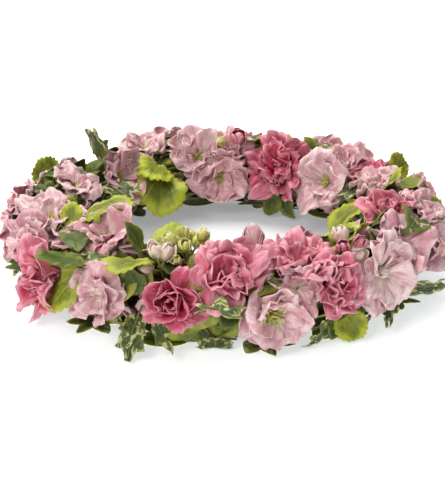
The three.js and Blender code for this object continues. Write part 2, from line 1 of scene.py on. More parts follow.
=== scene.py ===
# %% [markdown]
# # A fresh flower lei
#
# The lei is a hoop of taped stems with flowers, leaves and buds bound round it.
# The imported CAD model is loaded first, as the frame that everything is fitted to.
# Its box is kept, because the finished ring may not outgrow it.

# %% Load the frame
import math

import bpy
import numpy as np
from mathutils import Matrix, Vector


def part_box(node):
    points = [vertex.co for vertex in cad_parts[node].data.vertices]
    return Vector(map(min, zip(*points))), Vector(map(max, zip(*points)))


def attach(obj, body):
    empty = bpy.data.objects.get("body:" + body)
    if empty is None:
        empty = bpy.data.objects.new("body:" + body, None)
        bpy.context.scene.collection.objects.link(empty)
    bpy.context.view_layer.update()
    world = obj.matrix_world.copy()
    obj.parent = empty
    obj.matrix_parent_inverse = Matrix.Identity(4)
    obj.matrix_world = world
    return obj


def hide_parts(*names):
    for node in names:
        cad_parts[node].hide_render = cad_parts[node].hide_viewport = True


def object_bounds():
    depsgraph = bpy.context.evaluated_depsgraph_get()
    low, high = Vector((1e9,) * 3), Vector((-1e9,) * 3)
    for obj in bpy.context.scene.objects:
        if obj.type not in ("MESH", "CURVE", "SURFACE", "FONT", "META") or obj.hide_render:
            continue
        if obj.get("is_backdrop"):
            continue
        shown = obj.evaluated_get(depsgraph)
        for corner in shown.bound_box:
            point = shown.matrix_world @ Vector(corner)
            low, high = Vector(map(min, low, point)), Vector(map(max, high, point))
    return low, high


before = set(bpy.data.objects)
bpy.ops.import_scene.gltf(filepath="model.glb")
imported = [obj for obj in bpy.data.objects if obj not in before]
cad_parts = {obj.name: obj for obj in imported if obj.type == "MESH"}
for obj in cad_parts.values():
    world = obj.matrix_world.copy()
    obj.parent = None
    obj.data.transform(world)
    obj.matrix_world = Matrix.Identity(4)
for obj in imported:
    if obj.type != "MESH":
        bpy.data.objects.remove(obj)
cad_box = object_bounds()
print("CAD nodes", len(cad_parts), "box", [tuple(round(v, 4) for v in c) for c in cad_box])

# %% [markdown]
# ## Camera
#
# A product photograph is described by three things: how high the camera looks from,
# how far away it stands and how long its lens is. They are set as numbers, so the
# same view comes back each time. The camera stands a little under a metre away and
# looks down at about twenty degrees, and the lens is long enough to fill the frame.

# %% Camera
LOOK_DOWN = math.radians(21.5)   # towards the middle of the ring
DISTANCE = 0.78
AIM_BELOW = math.radians(1.5)    # the ring sits above the middle of the picture
RING_MIDDLE = Vector((0, 0, 0.032))

camera_data = bpy.data.cameras.new("camera")
camera_data.lens = 79.7
camera_data.sensor_width = 36
camera_data.clip_end = 60
camera = bpy.data.objects.new("camera", camera_data)
bpy.context.scene.collection.objects.link(camera)
camera.location = RING_MIDDLE + DISTANCE * Vector((0, -math.cos(LOOK_DOWN), math.sin(LOOK_DOWN)))
camera.rotation_euler = (math.pi / 2 - LOOK_DOWN - AIM_BELOW, 0, 0)
bpy.context.scene.camera = camera
print("camera at", [round(v, 3) for v in camera.location])

# %% [markdown]
# ## Floor
#
# The flowers lie on a white sweep. A floor that glows a little gives the white, as a lit
# table does. Inside the ring its glow is lowered and its white turned grey, most at the
# rear, by the distance from the middle: a painted shadow of the flowers on the table.

# %% Floor
# the floor's glow, and its lower glow in the painted shadow inside the ring
GLOW, GLOW_IN_PAINTED_SHADOW = 0.6, 0.28
HOLE_RIM = (0.11, 0.15)          # metres from the middle
FRONT_TO_REAR = (-0.1, 0.09)


def shade(name):
    """A material with its node tree and its Principled shader."""
    material = bpy.data.materials.new(name)
    material.use_nodes = True
    return material, material.node_tree, material.node_tree.nodes["Principled BSDF"]


bpy.ops.mesh.primitive_plane_add(size=24, location=(0, 0, 0))
floor = bpy.context.object
floor.name = "floor"
white, white_tree, white_shader = shade("white_sweep")
white_shader.inputs["Roughness"].default_value = 0.8
white_shader.inputs["Specular IOR Level"].default_value = 0.1
white_shader.inputs["Emission Color"].default_value = (0.93, 0.97, 1, 1)
here = white_tree.nodes.new("ShaderNodeTexCoord").outputs["Object"]
beside = white_tree.nodes.new("ShaderNodeVectorMath")
beside.operation = "LENGTH"
white_tree.links.new(here, beside.inputs[0])
split = white_tree.nodes.new("ShaderNodeSeparateXYZ")
white_tree.links.new(here, split.inputs[0])


def fall(value, low, high, first, last):
    """A number that goes from first to last while the value goes from low to high."""
    node = white_tree.nodes.new("ShaderNodeMapRange")
    node.interpolation_type = "SMOOTHSTEP"
    white_tree.links.new(value, node.inputs[0])
    for slot, number in zip(node.inputs[1:5], (low, high, first, last)):
        slot.default_value = number
    return node.outputs[0]


# painted shadow: inside the ring, most at the rear, the glow falls and the white turns grey
painted_shadow = white_tree.nodes.new("ShaderNodeMath")
painted_shadow.operation = "MULTIPLY"
white_tree.links.new(fall(beside.outputs["Value"], *HOLE_RIM, 1, 0), painted_shadow.inputs[0])
white_tree.links.new(fall(split.outputs["Y"], *FRONT_TO_REAR, 0, 1), painted_shadow.inputs[1])
white_tree.links.new(fall(painted_shadow.outputs[0], 0, 1, GLOW, GLOW_IN_PAINTED_SHADOW),
                     white_shader.inputs["Emission Strength"])
shadow_grey = white_tree.nodes.new("ShaderNodeMix")
shadow_grey.data_type = "RGBA"
white_tree.links.new(painted_shadow.outputs[0], shadow_grey.inputs[0])
shadow_grey.inputs[6].default_value = (0.9, 0.905, 0.91, 1)
shadow_grey.inputs[7].default_value = (0.56, 0.57, 0.58, 1)
white_tree.links.new(shadow_grey.outputs[2], white_shader.inputs["Base Color"])
floor.data.materials.append(white)
floor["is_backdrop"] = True
print("floor with", len(white_tree.nodes), "nodes in its paint")

# %% [markdown]
# ## Light
#
# An even, bright surround keeps every shade open, as a white studio does. One large
# soft lamp above and behind draws highlights on the upturned petals, and a weaker one
# in front fills their shade. Small lamps would draw hard shadows between the petals.

# %% Lamps
def soft_lamp(name, place, size, watts, colour):
    """A square lamp that faces the middle of the ring."""
    data = bpy.data.lights.new(name, "AREA")
    data.size = size
    data.energy = watts
    data.color = colour
    lamp = bpy.data.objects.new(name, data)
    bpy.context.scene.collection.objects.link(lamp)
    lamp.location = place
    lamp.rotation_euler = (RING_MIDDLE - Vector(place)).to_track_quat("-Z", "Y").to_euler()


world = bpy.data.worlds.new("surround")
world.use_nodes = True
world.node_tree.nodes["Background"].inputs["Color"].default_value = (0.97, 0.985, 1, 1)
world.node_tree.nodes["Background"].inputs["Strength"].default_value = 0.295
bpy.context.scene.world = world
soft_lamp("lamp_above", (-0.3, 0.45, 1.4), 1.0, 24.5, (1, 0.985, 0.965))
soft_lamp("lamp_front", (-0.7, -1.2, 1.2), 0.7, 11.5, (1, 0.99, 0.98))
bpy.context.scene.view_settings.view_transform = "Standard"

# %% [markdown]
# ## Places on the ring
#
# Every flower is placed by two angles. "around" goes round the ring from +X, and
# "roll" goes round the tube: 0 faces out, 90 up, 180 into the hole, 270 down. The
# middle of the hoop is read from the binding wire of the CAD model.

# %% Places on the ring
MM = 0.001
wire_low, wire_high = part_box("binding_wire")
HOOP_MIDDLE = np.array((wire_low + wire_high) / 2)
RING_RADIUS = 119 * MM
HALF_WIDTH, HALF_HEIGHT = 36 * MM, 33 * MM
SLIM_ENDS = 0.1
HOOP_GIRTH = 8 * MM


def station(around, roll):
    """The middle of the hoop there, and the ways along, outward and across."""
    a, r = math.radians(around), math.radians(roll)
    out = np.array((math.cos(a), math.sin(a), 0))
    up = np.array((0, 0, 1.0))
    along = np.array((-out[1], out[0], 0))
    outward = out * math.cos(r) + up * math.sin(r)
    across = -out * math.sin(r) + up * math.cos(r)
    return HOOP_MIDDLE + RING_RADIUS * out, along, outward, across


def girth(around, roll):
    """How far the flowers reach from the hoop."""
    side = math.cos(math.radians(roll)) / HALF_WIDTH
    top = math.sin(math.radians(roll)) / HALF_HEIGHT
    return (1 - SLIM_ENDS * math.cos(math.radians(around)) ** 4) / math.hypot(side, top)


def unit(vector):
    return vector / np.linalg.norm(vector)


def seat(around, roll, height, turn=0, lean=0):
    """A foot at a height above the hoop's middle, with the three ways of a flower."""
    middle, along, outward, across = station(around, roll)
    axis = unit(outward + across * math.tan(math.radians(turn))
                + along * math.tan(math.radians(lean)))
    first = unit(along - axis * along.dot(axis))
    return {"foot": middle + outward * height, "axis": axis, "first": first,
            "second": np.cross(axis, first), "around": around, "roll": roll}


print("hoop's middle", HOOP_MIDDLE.round(4))

# %% [markdown]
# ## What is bound in
#
# The lists repeat the CAD model's own, in millimetres and degrees, so every flower
# stands where the model has it. A bloom is around, roll, reach, turn and lean. A leaf
# is its outline, heading, length, width and the two angles between which it bends. A
# heading of 0 runs along the ring.

# %% The flowers, leaves and buds
STOCK, CARNATION = "stock", "carnation"
LIME_LEAF, IVY_LEAF, POINTED_LEAF = "lime", "ivy", "pointed"
LONG_IVY_LEAF = "long_ivy"
DEPTH = {STOCK: 14 * MM, CARNATION: 18 * MM}

BLOOMS = [
  ["stock_spray_left", STOCK, "stock", [201, 78, 19, 0, 24], [207, 32, 17, 0, 14]],
  ["stock_front_left", STOCK, "stock", [239, 8, 21, 4, -4]],
  ["stock_left_inner", STOCK, "stock", [229, 114, 20, -54]],
  ["stock_left_rear", STOCK, "stock", [168, 122, 17, -10]],
  ["stock_rear_left", STOCK, "stock", [144, 150, 20]],
  ["stock_rear_left_top", STOCK, "stock", [123, 104, 15]],
  ["stock_spray_rear", STOCK, "stock",
    [102, 141, 20], [92, 176, 20], [88, 135, 16]],
  ["stock_spray_right_rear", STOCK, "stock", [36, 158, 24], [33, 120, 19]],
  ["stock_right_rear", STOCK, "stock", [7, 115, 17]],
  ["stock_spray_right", STOCK, "stock", [346, 51, 19], [338, 22, 19]],
  ["stock_spray_right_front", STOCK, "stock", [322, 37, 20, 0, -8], [313, 17, 22, 0, -12]],
  ["stock_front", STOCK, "stock", [280.5, 355, 21, 0, 6], [288, 27, 14]],
  ["carnation_left", CARNATION, "carnation", [222, 2, 23, 0, -6]],
  ["carnation_rear", CARNATION, "deepCarnation", [63, 155, 24]],
  ["carnation_rear_right", CARNATION, "carnation", [23, 100, 14]],
  ["carnation_right", CARNATION, "deepCarnation", [341, 97, 17, 0, -20]],
  ["carnation_front_right", CARNATION, "carnation", [291, 64, 23, 12]],
  ["carnation_front_low", CARNATION, "carnation", [297.5, 21, 17, 0, 6]],
  ["carnation_front", CARNATION, "carnation", [270.5, 47, 20]],
  ["carnation_front_left", CARNATION, "deepCarnation", [258, 14, 16]],
  ["stock_spray_outer_left", STOCK, "stock", [188, 352, 18], [181, 30, 18]],
  ["stock_spray_outer_rear_left", STOCK, "stock", [158, 8, 18], [150, 22, 16]],
  ["stock_spray_outer_rear", STOCK, "stock", [118, 8, 18], [108, 20, 17]],
  ["carnation_outer_rear", CARNATION, "carnation", [84, 2, 18]],
  ["stock_spray_outer_rear_right", STOCK, "stock", [57, 14, 17], [47, 8, 18]],
  ["stock_spray_outer_right", STOCK, "stock", [16, 4, 18], [6, 24, 17]],
  ["stock_inner_left", STOCK, "stock", [206, 166, 17]],
  ["stock_inner_front_left", STOCK, "stock", [249, 178, 18]],
  ["carnation_inner_front", CARNATION, "carnation", [277, 174, 18]],
  ["stock_inner_front_right", STOCK, "stock", [304, 176, 18]],
]
LEAVES = [
  ["lime_sprig_left", "lime", 235, 50, 18, 18,
    [LIME_LEAF, 224, 40, 38, 75, 118], [POINTED_LEAF, 244, 49, 30, 28, 36]],
  ["lime_sprig_left_top", "lime", 213, 92, 15, 16,
    [LIME_LEAF, 53, 49, 35, 26, 93], [POINTED_LEAF, 340, 46, 31, 51, 110],
    [LIME_LEAF, 150, 25, 15, 16, 51]],
  ["ivy_sprig_left", "ivy", 208, 352, 17, 16,
    [IVY_LEAF, 190, 24, 16, 20, 30], [IVY_LEAF, 300, 40, 36, 44, 84]],
  ["ivy_sprig_rear_left", "ivy", 154, 122, 15, 17,
    [IVY_LEAF, 335, 56, 30, 12, 42], [IVY_LEAF, 80, 44, 38, 46, 96]],
  ["lime_sprig_rear_left", "lime", 119, 140, 16, 17,
    [LIME_LEAF, 64, 50, 37, 36, 88], [LIME_LEAF, 38, 48, 30, 14, 77]],
  ["leaf_sprig_rear", "leaf", 79, 98, 14, 14,
    [POINTED_LEAF, 105, 32, 22, 24, 70], [LIME_LEAF, 190, 34, 28, 46, 96]],
  ["leaf_sprig_rear_right", "leaf", 51, 100, 14, 15,
    [POINTED_LEAF, 355, 22, 21, 29, 39], [LIME_LEAF, 20, 26, 24, 60, 100]],
  ["leaf_sprig_right_rear", "leaf", 14, 86, 14, 15,
    [POINTED_LEAF, 330, 30, 22, 50, 92], [LIME_LEAF, 200, 36, 32, 46, 96]],
  ["lime_sprig_right_inner", "lime", 4, 126, 16, 18,
    [LIME_LEAF, 112, 44, 34, 52, 110], [LIME_LEAF, 220, 38, 32, 40, 84],
    [IVY_LEAF, 30, 38, 34, 46, 95]],
  ["leaf_sprig_right", "lime", 343, 56, 17, 15,
    [LIME_LEAF, 325, 42, 30, 50, 94], [POINTED_LEAF, 177, 54, 33, 39, 106]],
  ["lime_sprig_front_right", "lime", 322, 126, 15, 17,
    [LIME_LEAF, 66, 30, 27, 52, 74], [LIME_LEAF, 200, 40, 34, 60, 104],
    [POINTED_LEAF, 346, 38, 32, 62, 92]],
  ["leaf_sprig_front", "leaf", 247, 84, 17, 16,
    [LIME_LEAF, 262, 36, 34, 50, 98], [LIME_LEAF, 71, 37, 24, 51, 94],
    [POINTED_LEAF, 180, 28, 26, 23, 30]],
  ["ivy_sprig_front_left", "ivy", 249, 354, 16, 18,
    [IVY_LEAF, 270, 40, 32, 20, 66], [IVY_LEAF, 325, 39, 24, 50, 58],
    [POINTED_LEAF, 102, 28, 28, 69, 76]],
  ["lime_sprig_front_low", "lime", 268, 328, 16, 19,
    [LIME_LEAF, 224, 36, 36, 66, 88], [IVY_LEAF, 266, 33, 28, 38, 78],
    [IVY_LEAF, 84, 37, 38, 42, 104]],
  ["ivy_sprig_front_right", "ivy", 300, 334, 16, 19,
    [LIME_LEAF, 309, 29, 22, 16, 51], [POINTED_LEAF, 251, 24, 24, 40, 51],
    [IVY_LEAF, 215, 36, 28, 40, 84]],
  ["ivy_sprig_right_low", "ivy", 321, 328, 15, 19,
    [IVY_LEAF, 14, 45, 31, 34, 74], [IVY_LEAF, 182, 40, 25, 30, 60],
    [IVY_LEAF, 190, 42, 36, 44, 86]],
]
BACKING = [
  [12, "ivy", [IVY_LEAF, 90, 56, 44, 70, 134]],
  [62, "leaf", [LIME_LEAF, 90, 56, 44, 70, 134]],
  [112, "ivy", [IVY_LEAF, 90, 56, 44, 70, 134]],
  [163, "leaf", [LIME_LEAF, 90, 56, 44, 70, 134]],
  [215, "ivy"], [266, "leaf"], [316, "ivy"],
]
BUDS = [
  ["bud_spray_front_green", "greenBud", 259, 94, 20, 9,
    [40, 5, 7, 6, 2.8], [150, 6, 5, 7, 3], [270, 5, 8, 6, 2.8]],
  ["bud_spray_front_pale", "paleBud", 253, 58, 20, 9,
    [60, 4, 6, 9, 3], [210, 4, 3, 9, 3]],
  ["bud_spray_right_pink", "paleBud", 305, 66, 20, 8,
    [100, 4, 6, 10, 2.8], [290, 4, 4, 9, 2.8]],
  ["bud_front_pale", "paleBud", 280, 112, 20, 9, [100, 1, 4, 13, 5]],
  ["bud_rear", "greenBud", 85, 100, 18, 8, [20, 1, 4, 11, 4]],
]
print(sum(len(b) - 3 for b in BLOOMS), "blooms,", sum(len(s) - 6 for s in LEAVES), "leaves")

# %% [markdown]
# ## Room for each
#
# Flowers that are bound close together press on each other, and their petals give
# way. Each bloom, leafy stem and bud therefore owns the space nearer to it than to
# its neighbours, between flat walls. Points near a wall are bent away from it with a
# soft curve, and rise a little, as a crowded petal does. A simulation of so many thin
# petals would take hours, and this gives the same crowding in a moment.

# %% Room for each
SOFT = 6 * MM
WALL = -6 * MM         # petals of neighbours may cross by this much,
SHARED = -8 * MM       # those of one spray by this
SWAY = 2.5 * MM        # and no wall is quite flat
OVER_LEAF = -9 * MM    # petals spread this far over a leafy stem's room,
UNDER_BLOOM = -6 * MM  # and leaves this far under their neighbours
FLOOR = 0.5 * MM
LEAF_BEHIND = 5 * MM   # leaves may go this far back past their foot,
BLOOM_BEHIND = -0.3 * MM     # and petals stay a little in front of it
PETAL_LIFT, LEAF_LIFT = 0.5, 0.1     # how much a point rises as it is bent back
NEAR = 30 * MM         # cells further apart than this have no wall between them
cells = []


def add_cell(name, place, height, reach, lift):
    """The room of one bloom, stem or bud, with no walls yet."""
    cell = {"name": name, "place": place, "reach": reach * MM, "lift": lift, "walls": [],
            "centre": place["foot"] + place["axis"] * height}
    cells.append(cell)
    return cell


def raise_walls():
    """Gives each cell its walls: as a direction, a limit along it, and hard or soft."""
    for cell in cells:
        for other in cells:
            away = other["centre"] - cell["centre"]
            distance = np.linalg.norm(away)
            if other is cell or distance > cell["reach"] + other["reach"] + NEAR:
                continue
            normal = away / distance
            share = (distance ** 2 + cell["reach"] ** 2 - other["reach"] ** 2) / (2 * distance)
            gap = SHARED if other["name"] == cell["name"] else WALL
            if cell["lift"] == LEAF_LIFT:
                gap = UNDER_BLOOM
            elif other["lift"] == LEAF_LIFT:
                gap = OVER_LEAF
            cell["walls"].append((normal, cell["centre"] @ normal + share - gap, False))
        cell["walls"].append((np.array((0, 0, -1.0)), -FLOOR, False))
        back = -cell["place"]["axis"]
        behind = LEAF_BEHIND if cell["lift"] == LEAF_LIFT else BLOOM_BEHIND
        cell["walls"].append((back, cell["place"]["foot"] @ back + behind, True))


print("walls may be crossed by", round(-WALL / MM), "mm")

# %% [markdown]
# ## Bending away from a wall
#
# A point that comes near a wall is drawn back along a curve that never reaches the
# wall, so a petal bends there instead of being cut flat. The same curve draws in what
# would stand out past the CAD model's box, which the finished ring may not outgrow.

# %% Bending away from a wall
PROUD = 2 * MM         # past the box a petal or a leaf stands out by less than this
BOX_LOW, BOX_HIGH = (np.array(corner) for corner in cad_box)
RIPPLE = np.array((290, 210, 330))   # how closely a wall sways, in each direction
PASSES = 8             # one hard wall can push a point back through another


def eased(over):
    """How far to draw back what is this far past the start of the soft part."""
    return over - SOFT * (1 - np.exp(-over / SOFT))


def within_box(points):
    """Draws in what would stand out past the CAD model's box."""
    for way, edge in ((1, BOX_HIGH), (-1, BOX_LOW)):
        points = points - way * eased(np.maximum((points - edge) * way - PROUD + SOFT, 0))
    return points


def settle(points, cell):
    """Bends points away from the walls of their cell."""
    axis = cell["place"]["axis"]
    turn = 40 * cell["place"]["around"]
    sway = SWAY * np.sin(points @ RIPPLE + turn)
    for lift in (cell["lift"], 0):
        for normal, limit, hard in cell["walls"]:
            if not hard:
                swayed = sway * (normal[2] > -0.99)     # the table does not sway
                back = eased(np.maximum(points @ normal - limit + SOFT + swayed, 0))
                points = points - np.outer(back, normal) + lift * np.outer(back, axis)
    for _ in range(PASSES):
        for normal, limit, hard in cell["walls"]:
            points = points - np.outer(np.maximum(points @ normal - limit, 0), normal)
    return within_box(points)


print("within", PROUD / MM, "mm of the box")

# %% [markdown]
# ## A room for each flower
#
# Every row of the lists now gets its seat on the ring and its cell. The middle of a
# bloom's cell is a little above its foot, where the flower is widest, so that two
# neighbours meet halfway between their faces. The walls can only be raised when all
# the cells are known.

# %% A room for each flower
WIDEST = 0.6           # of a bloom's depth
STEM_MIDDLE, BACKING_MIDDLE, BUD_MIDDLE = 10 * MM, 8 * MM, 4 * MM    # above the foot
BACKING_HEIGHT, BACKING_REACH = 15 * MM, 20

bloom_parts = []
for name, form, colour, *blooms in BLOOMS:
    parts = [add_cell(name, seat(a, r, girth(a, r) - DEPTH[form], *more),
                      WIDEST * DEPTH[form], reach, PETAL_LIFT)
             for a, r, reach, *more in blooms]
    bloom_parts.append((name, form, colour, parts))
sprig_parts = []
for name, colour, a, r, height, reach, *leaves in LEAVES:
    cell = add_cell(name, seat(a, r, height * MM), STEM_MIDDLE, reach, LEAF_LIFT)
    sprig_parts.append((name, colour, cell, leaves))
backing_parts = []
for index, (around, colour, *leaves) in enumerate(BACKING):
    name = f"{colour}_backing_{index + 1}"
    cell = add_cell(name, seat(around, 270, BACKING_HEIGHT), BACKING_MIDDLE, BACKING_REACH,
                    LEAF_LIFT)
    backing_parts.append((name, colour, cell, leaves))
bud_parts = []
for name, colour, a, r, height, reach, *buds in BUDS:
    cell = add_cell(name, seat(a, r, height * MM), BUD_MIDDLE, reach, LEAF_LIFT)
    bud_parts.append((name, colour, cell, buds))
raise_walls()
print(len(cells), "cells,", sum(len(c["walls"]) for c in cells), "walls")

# %% [markdown]
# ## Sums in a node tree
#
# Petals and leaves follow formulas, and Geometry Nodes can hold a formula: each sum
# is a Math node. Linking them by hand is slow to write, so a Field stands for one
# value in the tree, and adding or multiplying Fields adds the nodes and the links.
# The paints further down are built with the same Fields.

# %% Sums in a node tree
class Field:
    """A value in a node tree. Arithmetic on it adds Math nodes."""

    def __init__(self, tree, socket):
        self.tree = tree
        self.socket = socket

    def math(self, operation, *values):
        node = self.tree.nodes.new("ShaderNodeMath")
        node.operation = operation
        for value, slot in zip(values, node.inputs):
            plug(self.tree, value, slot)
        return Field(self.tree, node.outputs[0])

    def __add__(self, other): return self.math("ADD", self, other)
    def __radd__(self, other): return self.math("ADD", other, self)
    def __sub__(self, other): return self.math("SUBTRACT", self, other)
    def __rsub__(self, other): return self.math("SUBTRACT", other, self)
    def __mul__(self, other): return self.math("MULTIPLY", self, other)
    def __rmul__(self, other): return self.math("MULTIPLY", other, self)
    def __truediv__(self, other): return self.math("DIVIDE", self, other)
    def __pow__(self, other): return self.math("POWER", self, other)
    def __abs__(self): return self.math("ABSOLUTE", self)
    def sin(self): return self.math("SINE", self)
    def cos(self): return self.math("COSINE", self)
    def least(self, other): return self.math("MINIMUM", self, other)
    def most(self, other): return self.math("MAXIMUM", self, other)
    def fraction(self): return self.math("FRACT", self)
    def smooth(self, low, high):
        share = ((self - low) / (high - low)).most(0).least(1)
        return share * share * (3 - 2 * share)


def plug(tree, value, slot):
    """Links a Field to a socket, or sets a plain value on it."""
    if isinstance(value, Field):
        tree.links.new(value.socket, slot)
    else:
        slot.default_value = value


def mixed(low, high, share):
    """Between low and high by a share, for numbers and for Fields."""
    return low + (high - low) * share


print("fields ready")

# %% [markdown]
# ## Nodes in one line
#
# A tree of hundreds of nodes reads best when a node takes one line. So one helper
# adds a node, sets it and links it, and gives its output as a Field. Others start a
# tree with its named inputs, and store and read the numbers that a mesh carries.

# %% Nodes in one line
def add_node(tree, kind, inputs=None, output=0, **settings):
    """A node with its settings and inputs, and one of its outputs as a Field."""
    node = tree.nodes.new(kind)
    for key, value in settings.items():
        setattr(node, key, value)
    for key, value in (inputs or {}).items():
        slot = node.inputs[key] if isinstance(key, int) else next(
            s for s in node.inputs if s.identifier == key)
        plug(tree, value, slot)
    return Field(tree, node.outputs[output])


def new_tree(name, inputs):
    """A Geometry Nodes tree with named inputs. Gives the tree and the inputs as Fields."""
    tree = bpy.data.node_groups.new(name, "GeometryNodeTree")
    for label, (kind, value) in inputs.items():
        socket = tree.interface.new_socket(name=label, in_out="INPUT",
                                           socket_type="NodeSocket" + kind)
        if value is not None:
            socket.default_value = value
    tree.interface.new_socket(name="Geometry", in_out="OUTPUT",
                              socket_type="NodeSocketGeometry")
    entry = tree.nodes.new("NodeGroupInput")
    fields = {s.name: Field(tree, s) for s in entry.outputs if s.name}
    return tree, fields


def store(tree, geometry, name, value, domain="POINT"):
    """Writes a number on each point, or on each instance."""
    return add_node(tree, "GeometryNodeStoreNamedAttribute",
                    {0: geometry, "Name": name, 3: value}, data_type="FLOAT", domain=domain)


def read(tree, name):
    """The number of that name which each point carries."""
    return add_node(tree, "GeometryNodeInputNamedAttribute", {0: name}, data_type="FLOAT")


def parts_of(tree, vector):
    """The x, y and z of a vector."""
    node = tree.nodes.new("ShaderNodeSeparateXYZ")
    tree.links.new(vector.socket, node.inputs[0])
    return [Field(tree, s) for s in node.outputs]


print("node helpers ready")

# %% [markdown]
# ## How a petal or a leaf bends
#
# A petal leaves the flower steeply and curls over until it faces away, and a leaf
# arches in the same way. So each blade follows an arc, from one angle off the
# flower's axis to another. The same sum serves petals and leaves: it takes a place
# along the blade and a distance to its side, and gives the point in space.

# %% The bent blade
RADIAN = math.pi / 180


def bent_blade(tree, along, side, lift, heading, length, start, end, twist, foot, rise):
    """The position of a blade's point. Angles are Fields in degrees."""
    low = start * RADIAN
    bend = (end - start) * RADIAN + 0.0001
    angle = low + bend * along
    scale = length / bend
    run = foot + scale * (low.cos() - angle.cos())
    up = scale * (angle.sin() - low.sin()) + rise
    turned = twist * RADIAN
    flat, raised = side * turned.cos(), side * turned.sin() + lift
    out = run - raised * angle.cos()
    h = heading * RADIAN
    return add_node(tree, "ShaderNodeCombineXYZ", {
        0: out * h.cos() - flat * h.sin(),
        1: out * h.sin() + flat * h.cos(),
        2: up + raised * angle.sin()})


def finish_tree(tree, geometry, position, material):
    """The end of a tree: points moved, shaded smooth, made real, painted."""
    moved = add_node(tree, "GeometryNodeSetPosition", {0: geometry, 2: position})
    smooth = add_node(tree, "GeometryNodeSetShadeSmooth", {0: moved})
    real = add_node(tree, "GeometryNodeRealizeInstances", {0: smooth})
    painted = add_node(tree, "GeometryNodeSetMaterial", {0: real, 2: material})
    end = tree.nodes.new("NodeGroupOutput")
    tree.links.new(painted.socket, end.inputs[0])


print("bent blade ready")

# %% [markdown]
# ## A rosette of petals
#
# In a double flower each petal stands 137.5 degrees on from the last, as seeds do in
# a sunflower. A Grid node gives one petal, Instance on Points repeats it, and the
# instances are made real before their points move, so that no two petals are alike.
# The innermost petals are short and upright, the outermost long and curled back.

# %% The rosette tree
GOLDEN_ANGLE = 137.508
PETAL_TWIST = 6                           # degrees, the same way round for all petals
NECK, NECK_WIDER = 0.0006, 0.0008         # metres from the axis to a petal's foot


